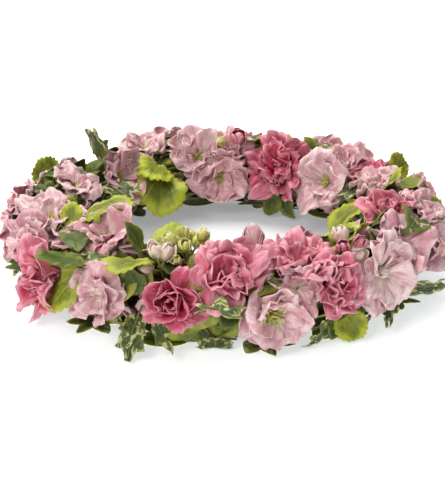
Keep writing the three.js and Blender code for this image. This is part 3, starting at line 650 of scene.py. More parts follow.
def rosette_tree():
    """Petals on a golden spiral. What is given as inner and outer goes with the layer."""
    tree, given = new_tree("rosette", {
        "Petals": ("Int", 20), "Columns": ("Int", 9), "Rows": ("Int", 9),
        "Reach": ("Float", 0.02), "Seed": ("Int", 0),
        "Inner Length": ("Float", 0.5), "Outer Length": ("Float", 1.2),
        "Inner Width": ("Float", 0.4), "Outer Width": ("Float", 1.0),
        "Inner Start": ("Float", 2), "Outer Start": ("Float", 35),
        "Inner End": ("Float", 20), "Outer End": ("Float", 105),
        "Claw": ("Float", 0.25), "Round": ("Float", 0.35),
        "Inner Cup": ("Float", 0.5), "Outer Cup": ("Float", 0),
        "Ruffle": ("Float", 0.1), "Frill": ("Float", 0), "Folds": ("Float", 3),
        "Teeth": ("Float", 0), "Teeth Count": ("Float", 8), "Crease": ("Float", 0.05),
        "Uneven": ("Float", 0.3), "Tilt": ("Float", 16),
        "Loose": ("Float", 13), "Tone": ("Float", 0), "Material": ("Material", None)})
    petal = add_node(tree, "GeometryNodeMeshGrid", {
        0: 2, 1: 1, 2: given["Columns"], 3: given["Rows"]})
    points = add_node(tree, "GeometryNodePoints", {0: given["Petals"]})
    number = add_node(tree, "GeometryNodeInputIndex")
    petals = add_node(tree, "GeometryNodeInstanceOnPoints", {0: points, 2: petal})
    petals = store(tree, petals, "petal", number, "INSTANCE")
    petals = add_node(tree, "GeometryNodeRealizeInstances", {0: petals})
    x, y, _ = parts_of(tree, add_node(tree, "GeometryNodeInputPosition"))
    petals = store(tree, petals, "across", x)
    petals = store(tree, petals, "along", y + 0.5)
    number, u, v = read(tree, "petal"), read(tree, "across"), read(tree, "along")

    def draw(index, size):
        seed = given["Seed"] * 31 + index
        return add_node(tree, "FunctionNodeRandomValue", {2: -1, 3: 1, 7: number, 8: seed},
                        output=1, data_type="FLOAT") * size

    # each petal's own size and angles
    layer = number / (given["Petals"] - 1)
    length = given["Reach"] * mixed(given["Inner Length"], given["Outer Length"], layer ** 0.8)
    length = length * (1 + draw(1, 0.12))
    half = given["Reach"] * mixed(given["Inner Width"], given["Outer Width"], layer) / 2
    half = half * (1 + draw(2, 0.14))
    start = mixed(given["Inner Start"], given["Outer Start"], layer) + draw(3, 4)
    end = mixed(given["Inner End"], given["Outer End"], layer ** 0.9) + draw(4, 1) * given["Loose"]
    phase = draw(5, 9)
    # its outline: a narrow claw, a rounded tip, teeth and an uneven edge
    widen = given["Claw"] + (1 - given["Claw"]) * v.smooth(0, 0.75)
    tooth = abs((u * given["Teeth Count"] + phase).fraction() - 0.5)
    near_tip = v ** 6
    place = add_node(tree, "ShaderNodeCombineXYZ", {0: u * 1.2, 1: number * 5.3 + phase})
    edge = add_node(tree, "ShaderNodeTexNoise", {0: place, 2: 1.3, 3: 2.0}) - 0.5
    along = v - given["Round"] * (abs(u) ** 2.6) * (v ** 2) + given["Teeth"] * tooth * near_tip
    along = along + given["Uneven"] * edge * (v ** 3)
    side = u * half * widen * (1 - 0.18 * near_tip)
    # its relief: a cup, ruffles, a frilled edge and creases
    cup = mixed(given["Inner Cup"], given["Outer Cup"], layer) + draw(6, 0.22)
    place = add_node(tree, "ShaderNodeCombineXYZ", {
        0: u * 0.9, 1: v * 1.3, 2: number * 3.7 + phase})
    noise = add_node(tree, "ShaderNodeTexNoise", {0: place, 2: 1.6, 3: 1.0}) - 0.5
    fold = (u * given["Folds"] + phase + v * 1.3).sin()
    fine = (u * given["Folds"] * 2.7 + phase * 1.7).sin()
    lift = half * (cup * u * u * v.smooth(0, 0.5))
    lift = lift + given["Reach"] * given["Ruffle"] * noise * 3.4 * v
    lift = lift + given["Reach"] * given["Frill"] * (fold + 0.5 * fine) * (v ** 2.2)
    crease = abs((u * 1.7 + noise * 2.6 + phase).sin())
    lift = lift + given["Reach"] * given["Crease"] * (1 - crease * 1.6) * v.smooth(0.05, 0.7)
    # what the paint reads
    petals = store(tree, petals, "valley", crease + 0.0 * u)
    petals = store(tree, petals, "layer", layer)
    petals = store(tree, petals, "pick", draw(7, 1))
    petals = store(tree, petals, "tone", 0.0 * u + given["Tone"])
    position = bent_blade(tree, along, side, lift, number * GOLDEN_ANGLE + draw(8, 12),
                          length, start, end, PETAL_TWIST + draw(9, 1) * given["Tilt"],
                          NECK + layer * NECK_WIDER, 2 * NECK - layer * NECK_WIDER)
    finish_tree(tree, petals, position, given["Material"])
    return tree


rosette = rosette_tree()
print("rosette tree:", len(rosette.nodes), "nodes")

# %% [markdown]
# ## Reading a tree's result
#
# A modifier's inputs are set by their identifiers, which stay when a name changes.
# The evaluated object gives a plain mesh, and its points are read and written as one
# array, because a flower has thousands of them.

# %% From tree to mesh
def grown(tree, values, source=None):
    """The plain mesh that a tree makes of its inputs and, if given, of a source mesh."""
    mesh = source or bpy.data.meshes.new("seed")
    carrier = bpy.data.objects.new("carrier", mesh)
    bpy.context.scene.collection.objects.link(carrier)
    modifier = carrier.modifiers.new("grow", "NODES")
    modifier.node_group = tree
    for socket in tree.interface.items_tree:
        if socket.in_out == "INPUT" and socket.name in values:
            modifier[socket.identifier] = values[socket.name]
    carrier.update_tag()
    graph = bpy.context.evaluated_depsgraph_get()
    result = bpy.data.meshes.new_from_object(carrier.evaluated_get(graph), depsgraph=graph)
    bpy.data.objects.remove(carrier)
    bpy.data.meshes.remove(mesh)
    return result


def points_of(mesh):
    """A mesh's points, one row each."""
    flat = np.empty(len(mesh.vertices) * 3)
    mesh.vertices.foreach_get("co", flat)
    return flat.reshape(-1, 3)


def set_points(mesh, points):
    mesh.vertices.foreach_set("co", np.ascontiguousarray(points, float).ravel())
    mesh.update()


print("ready to read the trees")

# %% [markdown]
# ## Putting a flower or a leaf in its place
#
# A tree grows everything upright at the origin. The points are then turned to the
# seat's three ways and moved to its foot, so the object itself stays unturned, and
# the paint does not slide. A bloom keeps to its cell. A leaf gives way to the blooms
# that stand on it, and lies down where it meets the table.

# %% Putting in place
BED_CROWDING, LEAF_CROWDING = 0.85, 0.5          # part of a bloom's reach that presses
PRESSED_EDGE = 0.3                               # of its reach, over which the press eases
PRESSED_UP_TO, PRESSED_OVER = 28 * MM, 8 * MM    # above a bloom's foot
BLOOM_NECK, BLOOM_FLARE = 5 * MM, 0.35           # a bloom widens from its neck as a cone
SAG_HEIGHT, SAG = 4 * MM, 3.2 * MM               # where a leaf starts to lie down


def placed(points, place):
    """Points that were grown at the origin, turned and moved to their place."""
    return place["foot"] + points @ np.array((place["first"], place["second"], place["axis"]))


def put(mesh, place, cell):
    """Moves a mesh from its own axes to its place, within its cell's room."""
    set_points(mesh, settle(placed(points_of(mesh), place), cell))
    return mesh


def clear_of_blooms(points, crowding=BED_CROWDING):
    """Presses leaves down where a bloom stands on them, out to a part of its reach."""
    for _, _, _, parts in bloom_parts:
        for cell in parts:
            foot, axis = cell["place"]["foot"], cell["place"]["axis"]
            height = (points - foot) @ axis
            beside = np.linalg.norm(points - foot - np.outer(height, axis), axis=1)
            edge = PRESSED_EDGE * cell["reach"]
            share = np.clip((crowding * cell["reach"] - beside) / edge, 0, 1)
            share *= np.clip((PRESSED_UP_TO - height) / PRESSED_OVER, 0, 1)
            under = BLOOM_FLARE * np.maximum(beside - BLOOM_NECK, 0)
            down = np.maximum(height - under, 0) * share
            points = points - np.outer(down, axis)
    return points


def off_the_floor(points):
    """Flattens what would go below the surface against it."""
    height = points[:, 2]
    low = SAG_HEIGHT - SAG * (1 - np.exp((height - SAG_HEIGHT) / SAG))
    return np.column_stack((points[:, :2], np.where(height < SAG_HEIGHT, low, height)))


def within_girth(points, part):
    """Draws in what stands out past a part of the ring's own thickness."""
    flat = points[:, :2] - HOOP_MIDDLE[:2]
    across = np.linalg.norm(flat, axis=1)
    out = flat / across[:, None]
    side, up = across - RING_RADIUS, points[:, 2] - HOOP_MIDDLE[2]
    reach = np.hypot(side, up) + 1e-9
    limit = part / np.hypot(side / reach / HALF_WIDTH, up / reach / HALF_HEIGHT)
    scale = (reach - eased(np.maximum(reach - limit + SOFT, 0))) / reach
    return np.column_stack((HOOP_MIDDLE[:2] + out * (RING_RADIUS + side * scale)[:, None],
                            HOOP_MIDDLE[2] + up * scale))


def lay(mesh, place):
    """Moves a leaf to its place: under the blooms that stand on it, and off the floor."""
    points = clear_of_blooms(placed(points_of(mesh), place), LEAF_CROWDING)
    set_points(mesh, off_the_floor(within_box(points)))


print("ready to put in place")

# %% [markdown]
# ## One piece of several meshes
#
# The blooms of a spray, or a stem and its leaves, are one piece in the library. Their
# meshes are joined, and Solidify gives the thin blades a thickness, because a petal
# without one has no edge to catch the light and can't be made as a solid. The last
# lines say what carries the piece and which CAD nodes it stands for.

# %% One piece of several meshes
def piece_from(name, meshes, nodes, thickness):
    """One object of several meshes, given a thickness, that stands for its CAD nodes."""
    objects = []
    for mesh in meshes:
        part = bpy.data.objects.new(name, mesh)
        bpy.context.scene.collection.objects.link(part)
        objects.append(part)
    if len(objects) > 1:
        with bpy.context.temp_override(active_object=objects[0], object=objects[0],
                                       selected_objects=objects,
                                       selected_editable_objects=objects):
            bpy.ops.object.join()
    piece = objects[0]
    piece.name = piece.data.name = name
    if thickness:
        solid = piece.modifiers.new("thickness", "SOLIDIFY")
        solid.thickness = thickness
        solid.offset = 0
    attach(piece, "root")
    if nodes:
        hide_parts(*nodes)
    return piece


print("ready to make pieces")

# %% [markdown]
# ## Paint that follows the petal
#
# A paint that follows a petal has to know where on the petal it is. The trees stored
# that on the mesh, and an Attribute node reads it, where an image would need its own
# unwrapped map for every petal. The helpers read a number, blend two colours, turn a
# colour that is seen on a screen into one that the shader takes, and end a paint.

# %% Reading and blending
def paint(tree, name):
    """A number that the mesh carries, for use in a material."""
    node = tree.nodes.new("ShaderNodeAttribute")
    node.attribute_name = name
    return Field(tree, node.outputs["Fac"])


def blend(tree, share, first, second, kind="MIX"):
    """Two colours in a Mix node, by a share from 0 to 1."""
    node = tree.nodes.new("ShaderNodeMix")
    node.data_type = "RGBA"
    node.blend_type = kind
    for value, slot in ((share, node.inputs[0]), (first, node.inputs[6]), (second, node.inputs[7])):
        plug(tree, value, slot)
    return Field(tree, node.outputs[2])


def tint(red, green, blue):
    """A colour as it is seen on a screen, made linear for the shader."""
    return tuple((c / 255 / 12.92) if c < 11 else ((c / 255 + 0.055) / 1.055) ** 2.4
                 for c in (red, green, blue)) + (1,)


def finish_paint(tree, shader, colour, relief, depth, settings):
    """Ends a paint: its colour, its relief with strength and metres, the shader's inputs."""
    tree.links.new(colour.socket, shader.inputs["Base Color"])
    bump = tree.nodes.new("ShaderNodeBump")
    for label, value in zip(("Strength", "Distance"), depth):
        bump.inputs[label].default_value = value
    tree.links.new(relief.socket, bump.inputs["Height"])
    tree.links.new(bump.outputs[0], shader.inputs["Normal"])
    for label, value in settings.items():
        shader.inputs[label].default_value = value


print("ready to paint")

# %% [markdown]
# ## Petal colour
#
# A petal is palest at its foot and takes colour towards the edge, in fine streaks
# that follow its veins. The streaks are noise stretched along the petal, and the same
# noise raises its surface. Outer petals go towards a guard colour. The creases and the
# low parts of the folds get a painted shade in the deeper colour, and the high parts of
# the folds a painted highlight in the rim colour. The rim is paler: partly the petal's
# own paler edge, partly a painted highlight where the edge catches light. A little light
# passes through a petal, which the subsurface setting gives.

# %% Petal colour
def petal_material(name, foot, body, deep, guard, rim, rim_highlight_share, gloss, fold_shading=0.6):
    """The paint of one kind of petal, from its foot to its rim."""
    material, tree, shader = shade(name)
    along, across, valley = paint(tree, "along"), paint(tree, "across"), paint(tree, "valley")
    layer, pick, tone = paint(tree, "layer"), paint(tree, "pick"), paint(tree, "tone")
    far = pick * 9 + layer * 20
    fold_place = add_node(tree, "ShaderNodeCombineXYZ", {
        0: across * 2.0, 1: along * 1.1, 2: far})
    fold = add_node(tree, "ShaderNodeTexNoise", {0: fold_place, 2: 2.0, 3: 4, 4: 0.6})
    cloud_place = add_node(tree, "ShaderNodeCombineXYZ", {0: across, 1: along * 1.7, 2: far})
    cloud = add_node(tree, "ShaderNodeTexNoise", {0: cloud_place, 2: 1.7, 3: 3, 4: 0.6})
    vein_place = add_node(tree, "ShaderNodeCombineXYZ", {0: across * 7, 1: along * 0.8, 2: far})
    vein = add_node(tree, "ShaderNodeTexNoise", {0: vein_place, 2: 2.0, 3: 2})
    colour = blend(tree, (along + (cloud - 0.5) * 0.7).smooth(0.1, 0.6), foot, body)
    colour = blend(tree, (layer + (cloud - 0.5) * 0.6).smooth(0.5, 1.05) * 0.75, colour, guard)
    pinker = (tone + (cloud - 0.5) * 1.4).most(0).least(1)
    paler = ((cloud - 0.5) * 1.4 - tone).most(0).least(1)
    colour = blend(tree, pinker * 0.8, colour, deep)
    colour = blend(tree, paler * 0.75, colour, rim)
    # painted shade where the folds are low, painted shade along the creases, and a painted
    # highlight where the folds are high
    colour = blend(tree, (0.56 - fold).smooth(0.0, 0.2) * fold_shading, colour, deep)
    colour = blend(tree, (1 - valley).smooth(0.5, 1.0) * 0.28, colour, deep)
    colour = blend(tree, fold.smooth(0.5, 0.68) * fold_shading, colour, rim)
    colour = blend(tree, vein.smooth(0.5, 0.66) * 0.2, colour, deep)
    # the rim band: partly the petal's own paler edge, partly a painted highlight where the edge
    # catches light
    border = along.most(abs(across) * along.smooth(0.35, 0.7)) + (cloud - 0.5) * 0.16
    colour = blend(tree, (border + (vein - 0.5) * 0.1).smooth(0.82, 1.02) * rim_highlight_share, colour, rim)
    shade_of = 1 + pick * 0.12
    grey = add_node(tree, "ShaderNodeCombineColor", {
        0: shade_of, 1: shade_of - abs(pick) * 0.02, 2: shade_of})
    colour = blend(tree, 1.0, colour, grey, "MULTIPLY")
    relief = fold + cloud * 0.6 + vein * 0.12
    finish_paint(tree, shader, colour, relief, (0.7, 2.2 * MM), {
        "Roughness": gloss, "Specular IOR Level": 0.3, "Subsurface Weight": 0.12,
        "Subsurface Radius": (1.0, 0.5, 0.55), "Subsurface Scale": MM})
    return material


print("petal paint ready")

# %% [markdown]
# ## The petal paints
#
# Each is the colour of the foot, the body, the deeper tone, which also paints the shade
# in creases and folds, the outer petals and the rim, which also paints the highlights on
# folds and edges. Then come how much pale, highlit rim shows, how rough the petal is and
# how strong the painted shade and highlight of its folds are. One formula with five
# colours keeps the flowers of one family, which a lei needs.

# %% The petal paints
PETALS = {
    "stock": petal_material("stock_petal", tint(242, 232, 206), tint(226, 180, 183),
                            tint(196, 126, 140), tint(214, 164, 169), tint(250, 230, 226),
                            0.4, 0.6),
    "carnation": petal_material("carnation_petal", tint(226, 138, 150), tint(216, 94, 120),
                                tint(176, 48, 78), tint(234, 156, 170), tint(246, 198, 206),
                                0.5, 0.5, 0.4),
    "deepCarnation": petal_material("deep_carnation_petal", tint(214, 108, 128), tint(198, 60, 92),
                                    tint(146, 30, 60), tint(224, 136, 154), tint(240, 176, 188),
                                    0.5, 0.5, 0.4),
    # the eye's yellow-green is painted bright: partly its own colour, partly painted light for the
    # shade it lies in inside the flower
    "eye": petal_material("flower_eye", tint(186, 190, 76), tint(234, 230, 120), tint(160, 168, 60),
                          tint(234, 230, 130), tint(246, 242, 190), 0.5, 0.6),
    "button": petal_material("flower_button", tint(210, 204, 132), tint(252, 228, 206),
                             tint(238, 194, 178), tint(252, 230, 212), tint(255, 246, 232),
                             0.5, 0.6, 0.4),
}
print("petal materials", list(PETALS))

# %% [markdown]
# ## The forms of the flowers
#
# A stock floret is a loose rosette of thirteen to eighteen broad, rounded petals. A
# carnation in full bloom has half as many again, ruffled and with a toothed edge,
# packed upright in the middle, and some are half open or past their best. They all
# come from the one tree: a form is a set of its inputs. Angles are in degrees off the
# flower's axis, and lengths and widths are shares of its reach.

# %% The forms of the flowers
FORM = {
    "open": {"Petals": 14, "Columns": 13, "Rows": 11, "Loose": 26, "Tilt": 26,
             "Inner Length": 0.6, "Outer Length": 1.42, "Inner Width": 0.72, "Outer Width": 1.6,
             "Inner Start": 38, "Outer Start": 34, "Inner End": 58, "Outer End": 104,
             "Claw": 0.2, "Round": 0.34, "Inner Cup": 0.4, "Outer Cup": -0.1,
             "Ruffle": 0.32, "Frill": 0.04, "Folds": 3.0, "Crease": 0.08, "Uneven": 0.24},
    "double": {"Petals": 18, "Columns": 13, "Rows": 11, "Loose": 30, "Tilt": 30,
               "Inner Length": 0.74, "Outer Length": 1.42, "Inner Width": 0.84, "Outer Width": 1.5,
               "Inner Start": 6, "Outer Start": 26, "Inner End": 34, "Outer End": 106,
               "Claw": 0.22, "Round": 0.34, "Inner Cup": 0.3, "Outer Cup": -0.12,
               "Ruffle": 0.32, "Frill": 0.04, "Folds": 3.0, "Crease": 0.08, "Uneven": 0.24},
    "full": {"Petals": 26, "Columns": 21, "Rows": 10, "Loose": 20, "Tilt": 20,
             "Inner Length": 0.85, "Outer Length": 1.45, "Inner Width": 0.8, "Outer Width": 1.25,
             "Inner Start": 0, "Outer Start": 24, "Inner End": 18, "Outer End": 112,
             "Claw": 0.2, "Round": 0.18, "Inner Cup": 0.1, "Outer Cup": -0.1, "Uneven": 0.3,
             "Ruffle": 0.36, "Frill": 0.1, "Folds": 4.2, "Teeth": 0.1, "Teeth Count": 8,
             "Crease": 0.1},
    "ruffled": {"Petals": 17, "Columns": 21, "Rows": 10, "Loose": 24, "Tilt": 24,
                "Inner Length": 1.0, "Outer Length": 1.5, "Inner Width": 1.1, "Outer Width": 1.55,
                "Inner Start": 2, "Outer Start": 26, "Inner End": 24, "Outer End": 106,
                "Claw": 0.18, "Round": 0.2, "Inner Cup": 0.35, "Outer Cup": -0.05, "Uneven": 0.3,
                "Ruffle": 0.42, "Frill": 0.1, "Folds": 4.0, "Teeth": 0.09, "Teeth Count": 8,
                "Crease": 0.14},
    "half open": {"Petals": 14, "Columns": 21, "Rows": 10, "Loose": 12, "Tilt": 12,
                  "Inner Length": 1.2, "Outer Length": 1.55, "Inner Width": 0.8, "Outer Width": 1.5,
                  "Inner Start": 16, "Outer Start": 34, "Inner End": -12, "Outer End": 116,
                  "Claw": 0.3, "Round": 0.25, "Inner Cup": 0.9, "Outer Cup": 0.1, "Uneven": 0.3,
                  "Ruffle": 0.26, "Frill": 0.06, "Folds": 3.6, "Teeth": 0.07, "Teeth Count": 8,
                  "Crease": 0.1},
    "loose": {"Petals": 16, "Columns": 15, "Rows": 10, "Loose": 26, "Tilt": 30,
              "Inner Length": 0.95, "Outer Length": 1.6, "Inner Width": 0.7, "Outer Width": 0.9,
              "Inner Start": 4, "Outer Start": 30, "Inner End": 30, "Outer End": 92,
              "Claw": 0.2, "Round": 0.3, "Inner Cup": 0.5, "Outer Cup": 0.2, "Uneven": 0.4,
              "Ruffle": 0.36, "Frill": 0.08, "Folds": 3.4, "Teeth": 0.08, "Teeth Count": 7,
              "Crease": 0.14},
    "wide": {"Petals": 13, "Columns": 13, "Rows": 11, "Loose": 18, "Tilt": 18,
             "Inner Length": 0.85, "Outer Length": 1.42, "Inner Width": 0.9, "Outer Width": 1.5,
             "Inner Start": 54, "Outer Start": 44, "Inner End": 84, "Outer End": 106,
             "Claw": 0.2, "Round": 0.34, "Inner Cup": 0.2, "Outer Cup": -0.1,
             "Ruffle": 0.26, "Frill": 0.04, "Folds": 3.0, "Crease": 0.07, "Uneven": 0.24},
    "flat": {"Petals": 24, "Columns": 21, "Rows": 10, "Loose": 18, "Tilt": 22,
             "Inner Length": 0.62, "Outer Length": 1.4, "Inner Width": 0.8, "Outer Width": 1.3,
             "Inner Start": 14, "Outer Start": 40, "Inner End": 46, "Outer End": 118,
             "Claw": 0.2, "Round": 0.18, "Inner Cup": 0.1, "Outer Cup": -0.1, "Uneven": 0.3,
             "Ruffle": 0.34, "Frill": 0.1, "Folds": 4.2, "Teeth": 0.1, "Teeth Count": 8,
             "Crease": 0.1},
}
print("forms", {form: inputs["Petals"] for form, inputs in FORM.items()})

# %% [markdown]
# ## The middle of an open flower
#
# An open floret shows its middle: a small yellow-green eye, a tuft of longer threads,
# or a pale button of petals that have not opened yet. Each is a second, tiny rosette
# from the same tree, with narrow petals of only a few faces, and a paint of its own.

# %% The middle of an open flower
EYES = {
    "eye": {"Petals": 12, "Columns": 3, "Rows": 4, "Loose": 10,
            "Inner Length": 0.32, "Outer Length": 0.42, "Inner Width": 0.12, "Outer Width": 0.17,
            "Inner Start": 0, "Outer Start": 14, "Inner End": 8, "Outer End": 50, "Uneven": 0,
            "Claw": 0.6, "Round": 0.3, "Inner Cup": 0.3, "Outer Cup": 0.2, "Ruffle": 0.04,
            "Crease": 0},
    "tuft": {"Petals": 20, "Columns": 3, "Rows": 5, "Loose": 16,
             "Inner Length": 0.5, "Outer Length": 0.78, "Inner Width": 0.12, "Outer Width": 0.2,
             "Inner Start": 0, "Outer Start": 20, "Inner End": 10, "Outer End": 60, "Uneven": 0.1,
             "Claw": 0.5, "Round": 0.3, "Inner Cup": 0.3, "Outer Cup": 0.2, "Ruffle": 0.1,
             "Crease": 0},
    "button": {"Petals": 9, "Columns": 5, "Rows": 5, "Loose": 4,
               "Inner Length": 0.4, "Outer Length": 0.52, "Inner Width": 0.26, "Outer Width": 0.4,
               "Inner Start": 24, "Outer Start": 56, "Inner End": -50, "Outer End": -50,
               "Claw": 0.4, "Round": 0.2, "Inner Cup": 0.6, "Outer Cup": 0.6, "Ruffle": 0.05,
               "Crease": 0.02, "Uneven": 0},
}
EYE_PAINT = {"eye": "eye", "tuft": "eye", "button": "button"}
print("middles", list(EYES))

# %% [markdown]
# ## How each bloom differs
#
# Flowers of one kind are never alike. For each bloom that differs from its kind's
# usual, the table gives its form, its tone from pale (-1) to pink (1), its size as a
# share of its room, and what stands in its middle. A table is quicker to adjust than
# the blooms themselves, one at a time against the real flowers.

# %% How each bloom differs
STYLE = {
    "stock_spray_left": [("open", -0.8, 1.0, "eye"), ("double", 0.1, 1.0, None)],
    "stock_front_left": [("open", -0.2, 0.88, "button")],
    "stock_left_inner": [("open", 0.1, 1.0, "eye")],
    "stock_left_rear": [("open", -0.6, 1.0, "eye")],
    "stock_rear_left": [("open", -0.2, 1.0, "eye")],
    "stock_spray_outer_rear_left": [("open", -0.6, 0.85, None), ("open", -0.4, 0.85, "eye")],
    "stock_rear_left_top": [("open", -0.4, 1.0, "eye")],
    "stock_spray_rear": [("open", -0.4, 1.0, "eye"), ("open", 0.1, 1.0, "eye"),
                         ("double", 0.0, 1.0, None)],
    "stock_spray_right_rear": [("open", -0.6, 1.0, "eye"), ("double", 0.2, 1.0, None)],
    "stock_spray_right_front": [("open", 0.1, 1.0, "eye"), ("wide", -0.8, 1.0, "button")],
    "stock_front": [("open", -0.4, 0.92, "tuft"), ("wide", -0.2, 1.0, None)],
    "carnation_left": [("loose", -0.1, 1.0, None)],
    "carnation_rear": [("full", -0.15, 0.95, None)],
    "carnation_right": [("half open", -0.7, 1.0, None)],
    "carnation_front_right": [("flat", -0.5, 0.9, None)],
    "carnation_front_low": [("ruffled", -0.2, 1.0, None)],
    "carnation_front": [("ruffled", -0.25, 0.95, None)],
    "carnation_front_left": [("half open", 0.1, 0.95, None)],
}
USUAL = {STOCK: ("double", 0.0, 1.0, None), CARNATION: ("full", 0.0, 1.0, None)}
print(len(STYLE), "pieces with a style of their own")

# %% [markdown]
# ## Blooms
#
# Everything for a bloom is now at hand: its seat and its room, its form and its
# paint. Each gets a seed of its own, so that no two are alike and every run gives the
# same ones. Blooms of one spray are joined to one piece, which stands for its node.

# %% Blooms
PETAL_THICKNESS = 0.4 * MM

seed = 0
triangles = 0
for name, kind, colour, parts in bloom_parts:
    meshes = []
    for index, cell in enumerate(parts):
        seed += 1
        form, tone, size, eye = STYLE[name][index] if name in STYLE else USUAL[kind]
        reach = cell["reach"] * size
        inputs = dict(FORM[form], Reach=reach, Seed=seed, Tone=tone, Material=PETALS[colour])
        meshes.append(put(grown(rosette, inputs), cell["place"], cell))
        if eye:
            eye_paint = PETALS[EYE_PAINT[eye]]
            inputs = dict(EYES[eye], Reach=reach, Seed=seed, Material=eye_paint)
            meshes.append(put(grown(rosette, inputs), cell["place"], cell))
    triangles += sum(len(m.polygons) for m in meshes) * 4
    piece_from(name + "_bloom", meshes, [name], PETAL_THICKNESS)
print(seed, "blooms, about", triangles, "triangles")

# %% [markdown]
# ## Leaf outlines
#
# The leaves are a rounded one with a scalloped edge, a lobed ivy leaf, a slender ivy
# leaf with a long tip, and a plain pointed one. Each flat outline is a distance from
# the leaf's middle for every direction, which is easy to read and change, and rings
# of points fill it. A leaf is one wide and one long here, with its stalk, and the
# tree gives it its size.

# %% Leaf outlines
# angle from the tip and distance from the middle, then scallops: how many, how deep
OUTLINES = {
    LIME_LEAF: ([(0, 1.04), (35, 0.95), (70, 1.0), (110, 1.02), (150, 0.98), (172, 0.78),
                 (180, 0.7)], 10, 0.1),
    IVY_LEAF: ([(0, 1.12), (14, 0.78), (30, 0.5), (46, 0.86), (54, 1.0), (66, 0.72),
                (84, 0.5), (108, 0.8), (116, 0.88), (140, 0.7), (165, 0.62), (180, 0.5)], 0, 0),
    LONG_IVY_LEAF: ([(0, 1.16), (10, 0.92), (28, 0.6), (46, 0.56), (58, 0.74), (66, 0.84),
                     (78, 0.68), (100, 0.6), (130, 0.66), (155, 0.62), (180, 0.5)], 0, 0),
    POINTED_LEAF: ([(0, 1.12), (18, 0.92), (45, 0.84), (80, 0.9), (120, 0.98), (155, 1.0),
                    (180, 1.0)], 16, 0.025),
}
LEAF_HALF_WIDTH = {LIME_LEAF: 0.47, IVY_LEAF: 0.5, LONG_IVY_LEAF: 0.44, POINTED_LEAF: 0.36}
print("outlines", list(OUTLINES))

# %% [markdown]
# ## A flat leaf of its outline
#
# The middle point, a few rings and a narrow stalk make the flat leaf, with a number
# from 0 in the middle to 1 on the rim for the paint and the wavy edge. The few large
# leaves get a fine rim, so that their scallops are smooth, and the bed's hundreds get
# a coarse one of a few dozen faces. The outlines are not linked to the scene: the
# trees take them as inputs, and they never show themselves.

# %% A flat leaf
FINE = (120, (0.35, 0.65, 0.88, 1.0))     # points on the rim, and rings
PLAIN = (24, (0.6, 1.0))
LEAF_START = 0.26                         # where the blade meets its stalk
STALK_HALF_WIDTH, STALK_ROWS = 0.022, 5


def flat_leaf(kind, rim_points, rings):
    """A flat leaf with its stalk along +Y from the origin, as an unlinked object."""
    keys, scallops, depth = OUTLINES[kind]
    angles = [k[0] for k in keys]
    reaches = [k[1] for k in keys]
    middle = (1 + LEAF_START) / 2
    points, faces = [(0, middle, 0)], []
    for ring in rings:
        for step in range(rim_points):
            turn = 360 * step / rim_points
            off = min(turn, 360 - turn)
            reach = np.interp(off, angles, reaches)
            scallop = abs(math.sin(math.radians(off) * scallops)) if scallops else 0
            reach *= 1 + depth * (scallop - 0.5) * ring ** 3
            x = LEAF_HALF_WIDTH[kind] * ring * reach * math.sin(math.radians(turn))
            y = middle + (1 - LEAF_START) / 2 * ring * reach * math.cos(math.radians(turn))
            points.append((x, y, 0))
    for step in range(rim_points):
        after = (step + 1) % rim_points
        faces.append((0, 1 + after, 1 + step))
        for ring in range(len(rings) - 1):
            low = 1 + ring * rim_points
            high = low + rim_points
            faces.append((low + step, low + after, high + after, high + step))
    base = len(points)
    for row in range(STALK_ROWS):
        y = row / (STALK_ROWS - 1) * (LEAF_START + 0.06)
        points += [(-STALK_HALF_WIDTH, y, 0), (STALK_HALF_WIDTH, y, 0)]
        if row:
            low = base + 2 * row - 2
            faces.append((low, low + 1, low + 3, low + 2))
    mesh = bpy.data.meshes.new(kind + "_outline")
    mesh.from_pydata(points, [], faces)
    rim = mesh.attributes.new("rim", "FLOAT", "POINT")
    shares = [0] + [r for r in rings for _ in range(rim_points)] + [0] * (len(points) - base)
    rim.data.foreach_set("value", shares)
    return bpy.data.objects.new(kind + "_outline", mesh)


outlines = {kind: flat_leaf(kind, *FINE) for kind in OUTLINES}
plain_outlines = {kind: flat_leaf(kind, *PLAIN) for kind in OUTLINES}
print({kind: len(o.data.polygons) for kind, o in (outlines | plain_outlines).items()})

# %% [markdown]
# ## Leaves on their stem
#
# A leafy stem is given to the tree as a mesh of bare points, one for each leaf, that
# carry its heading, length and angles as attributes. The tree puts the outline on
# each point, folds it along the midrib, waves its edge and bends it along its arc.
# One tree then serves every stem, where a modelled leaf would have to be copied,
# scaled and bent by hand each time.

# %% The leafy stem tree
LEAF_FACTS = ("heading", "length", "width", "start", "end", "twist", "rise", "pick", "fresh")


